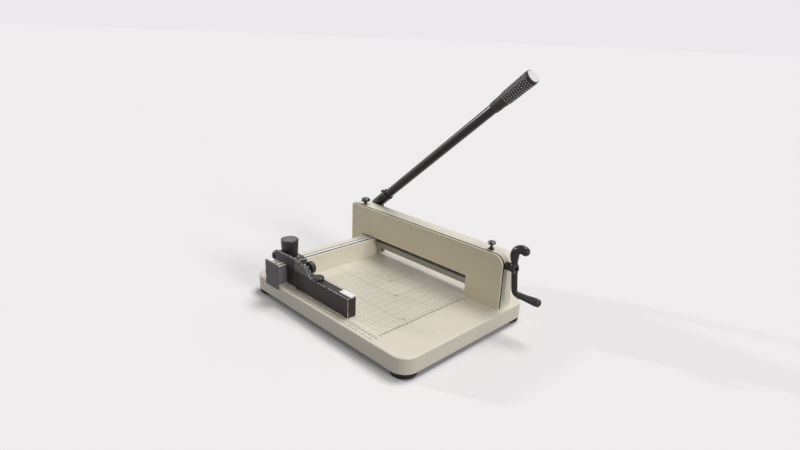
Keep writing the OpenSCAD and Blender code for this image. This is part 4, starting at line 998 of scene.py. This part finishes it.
class CUTTER_OT_stage(bpy.types.Operator):
    """Set the floor, the backdrop, the lamps and the camera"""

    bl_idname = "cutter.stage"
    bl_label = "Studio and camera"

    def execute(self, context):
        stage = context.scene.cutter_stage
        pale = floor_material(stage.floor)
        ground = bmesh.new()
        reach = stage.reach
        corners = [(-reach, -reach, 0), (reach, -reach, 0), (reach, reach, 0), (-reach, reach, 0)]
        ground.faces.new([ground.verts.new(corner) for corner in corners])
        floor = to_object("floor", ground)
        floor.data.materials.append(pale)
        sun("key_sun", (0.93, 0.0, 0.37), 0.42, 20.0, (1.0, 0.985, 0.955))
        sun("top_sun", (0.05, 0.37, 0.93), 0.62, 28.0, (1.0, 0.995, 0.985))
        sun("left_sun", (-0.88, -0.42, 0.25), 0.26, 3.0, (1.0, 0.99, 0.98))
        world = bpy.data.worlds.new("studio")
        world.use_nodes = True
        tree = world.node_tree
        shell = tree.nodes["Background"]
        seen = add(tree, "ShaderNodeMapRange", {"Value": seen_directly(tree), "To Min": 0.30, "To Max": 1.0})
        shell.inputs["Color"].default_value = (*stage.floor, 1)
        tree.links.new(seen.outputs["Result"], shell.inputs["Strength"])
        context.scene.world = world
        view = context.scene.view_settings
        view.view_transform = "Standard"
        place_camera(context.scene, stage)
        return {"FINISHED"}


def sun(name, towards, level, spread, rgb):
    """A soft sun from one direction; level 1 renders a facing colour as it is written."""
    data = bpy.data.lights.new(name, "SUN")
    data.energy, data.angle, data.color = level * math.pi, math.radians(spread), rgb
    made = bpy.data.objects.new(name, data)
    bpy.context.scene.collection.objects.link(made)
    made.location = Vector(towards) * 2
    made.rotation_euler = Vector(towards).to_track_quat("Z", "Y").to_euler()
    return made


def seen_directly(tree):
    """1 for rays from the camera, from gloss and through glass, 0 for diffuse bounces."""
    path = tree.nodes.new("ShaderNodeLightPath")
    gloss = add(tree, "ShaderNodeMath", {0: path.outputs["Is Glossy Ray"],
                                        1: path.outputs["Is Transmission Ray"]}, operation="MAXIMUM")
    return add(tree, "ShaderNodeMath", {0: path.outputs["Is Camera Ray"], 1: gloss.outputs[0]},
               operation="MAXIMUM").outputs[0]


def floor_material(rgb):
    """Floor paint that looks pale but throws only a little light back on the object."""
    material, tree, shader = blank_material("studio_floor")
    dim = tuple(0.24 * part for part in rgb)
    shown = blend_colour(tree, seen_directly(tree), (*dim, 1), (*rgb, 1))
    tree.links.new(shown, shader.inputs["Base Color"])
    shader.inputs["Roughness"].default_value = 1.0
    shader.inputs["Specular IOR Level"].default_value = 0.0
    return material


def place_camera(scene, stage):
    """The photograph's camera, from its turn, tilt and roll."""
    turn, tilt, roll = (math.radians(v) for v in (stage.azimuth, stage.elevation, stage.roll))
    ahead = Vector((-math.sin(turn) * math.cos(tilt), math.cos(turn) * math.cos(tilt), -math.sin(tilt)))
    right = Vector((math.cos(turn), math.sin(turn), 0))
    up = right.cross(ahead)
    right, up = (right * math.cos(roll) + up * math.sin(roll), up * math.cos(roll) - right * math.sin(roll))
    data = bpy.data.cameras.new("camera")
    data.lens, data.sensor_width = stage.lens, 36.0
    data.clip_start, data.clip_end = 0.02, 60.0
    camera = bpy.data.objects.new("camera", data)
    scene.collection.objects.link(camera)
    camera.matrix_world = Matrix.Translation(stage.place) @ Matrix((right, up, -ahead)).transposed().to_4x4()
    scene.camera = camera


TREES = {}

OPERATORS = (
    CUTTER_OT_fittings, CUTTER_OT_base, CUTTER_OT_gantry, CUTTER_OT_lever, CUTTER_OT_cutting,
    CUTTER_OT_crank, CUTTER_OT_gauge, CUTTER_OT_print, CUTTER_OT_scale, CUTTER_OT_index,
    CUTTER_OT_pips, CUTTER_OT_trims, CUTTER_OT_stage,
)
GROUPS_OF_VALUES = {
    "cutter_finish": CutterFinish, "cutter_marks": CutterMarks, "cutter_grip": CutterGrip,
    "cutter_trims": CutterTrims, "cutter_stage": CutterStage,
}


class CUTTER_PT_panel(bpy.types.Panel):
    """The cutter's sizes, colours and steps, in the 3D view's sidebar"""

    bl_idname = "CUTTER_PT_panel"
    bl_label = "Stack Cutter"
    bl_space_type = "VIEW_3D"
    bl_region_type = "UI"
    bl_category = "Cutter"

    def draw(self, context):
        for operator in OPERATORS:
            self.layout.operator(operator.bl_idname, text=operator.bl_label)
        for key in GROUPS_OF_VALUES:
            box = self.layout.box()
            values = getattr(context.scene, key)
            for field in values.bl_rna.properties:
                if not field.is_readonly and field.identifier != "name":
                    box.prop(values, field.identifier)


def register():
    """Add the operators, the values and the panel."""
    for kind in (*GROUPS_OF_VALUES.values(), *OPERATORS, CUTTER_PT_panel):
        bpy.utils.register_class(kind)
    for key, kind in GROUPS_OF_VALUES.items():
        setattr(bpy.types.Scene, key, PointerProperty(type=kind))


def unregister():
    """Take them away again."""
    for key in GROUPS_OF_VALUES:
        delattr(bpy.types.Scene, key)
    for kind in reversed((*GROUPS_OF_VALUES.values(), *OPERATORS, CUTTER_PT_panel)):
        bpy.utils.unregister_class(kind)


def main():
    """Dress the model step by step."""
    register()
    for operator in OPERATORS:
        group, step = operator.bl_idname.split(".")
        getattr(getattr(bpy.ops, group), step)()


if __name__ == "__main__":
    main()
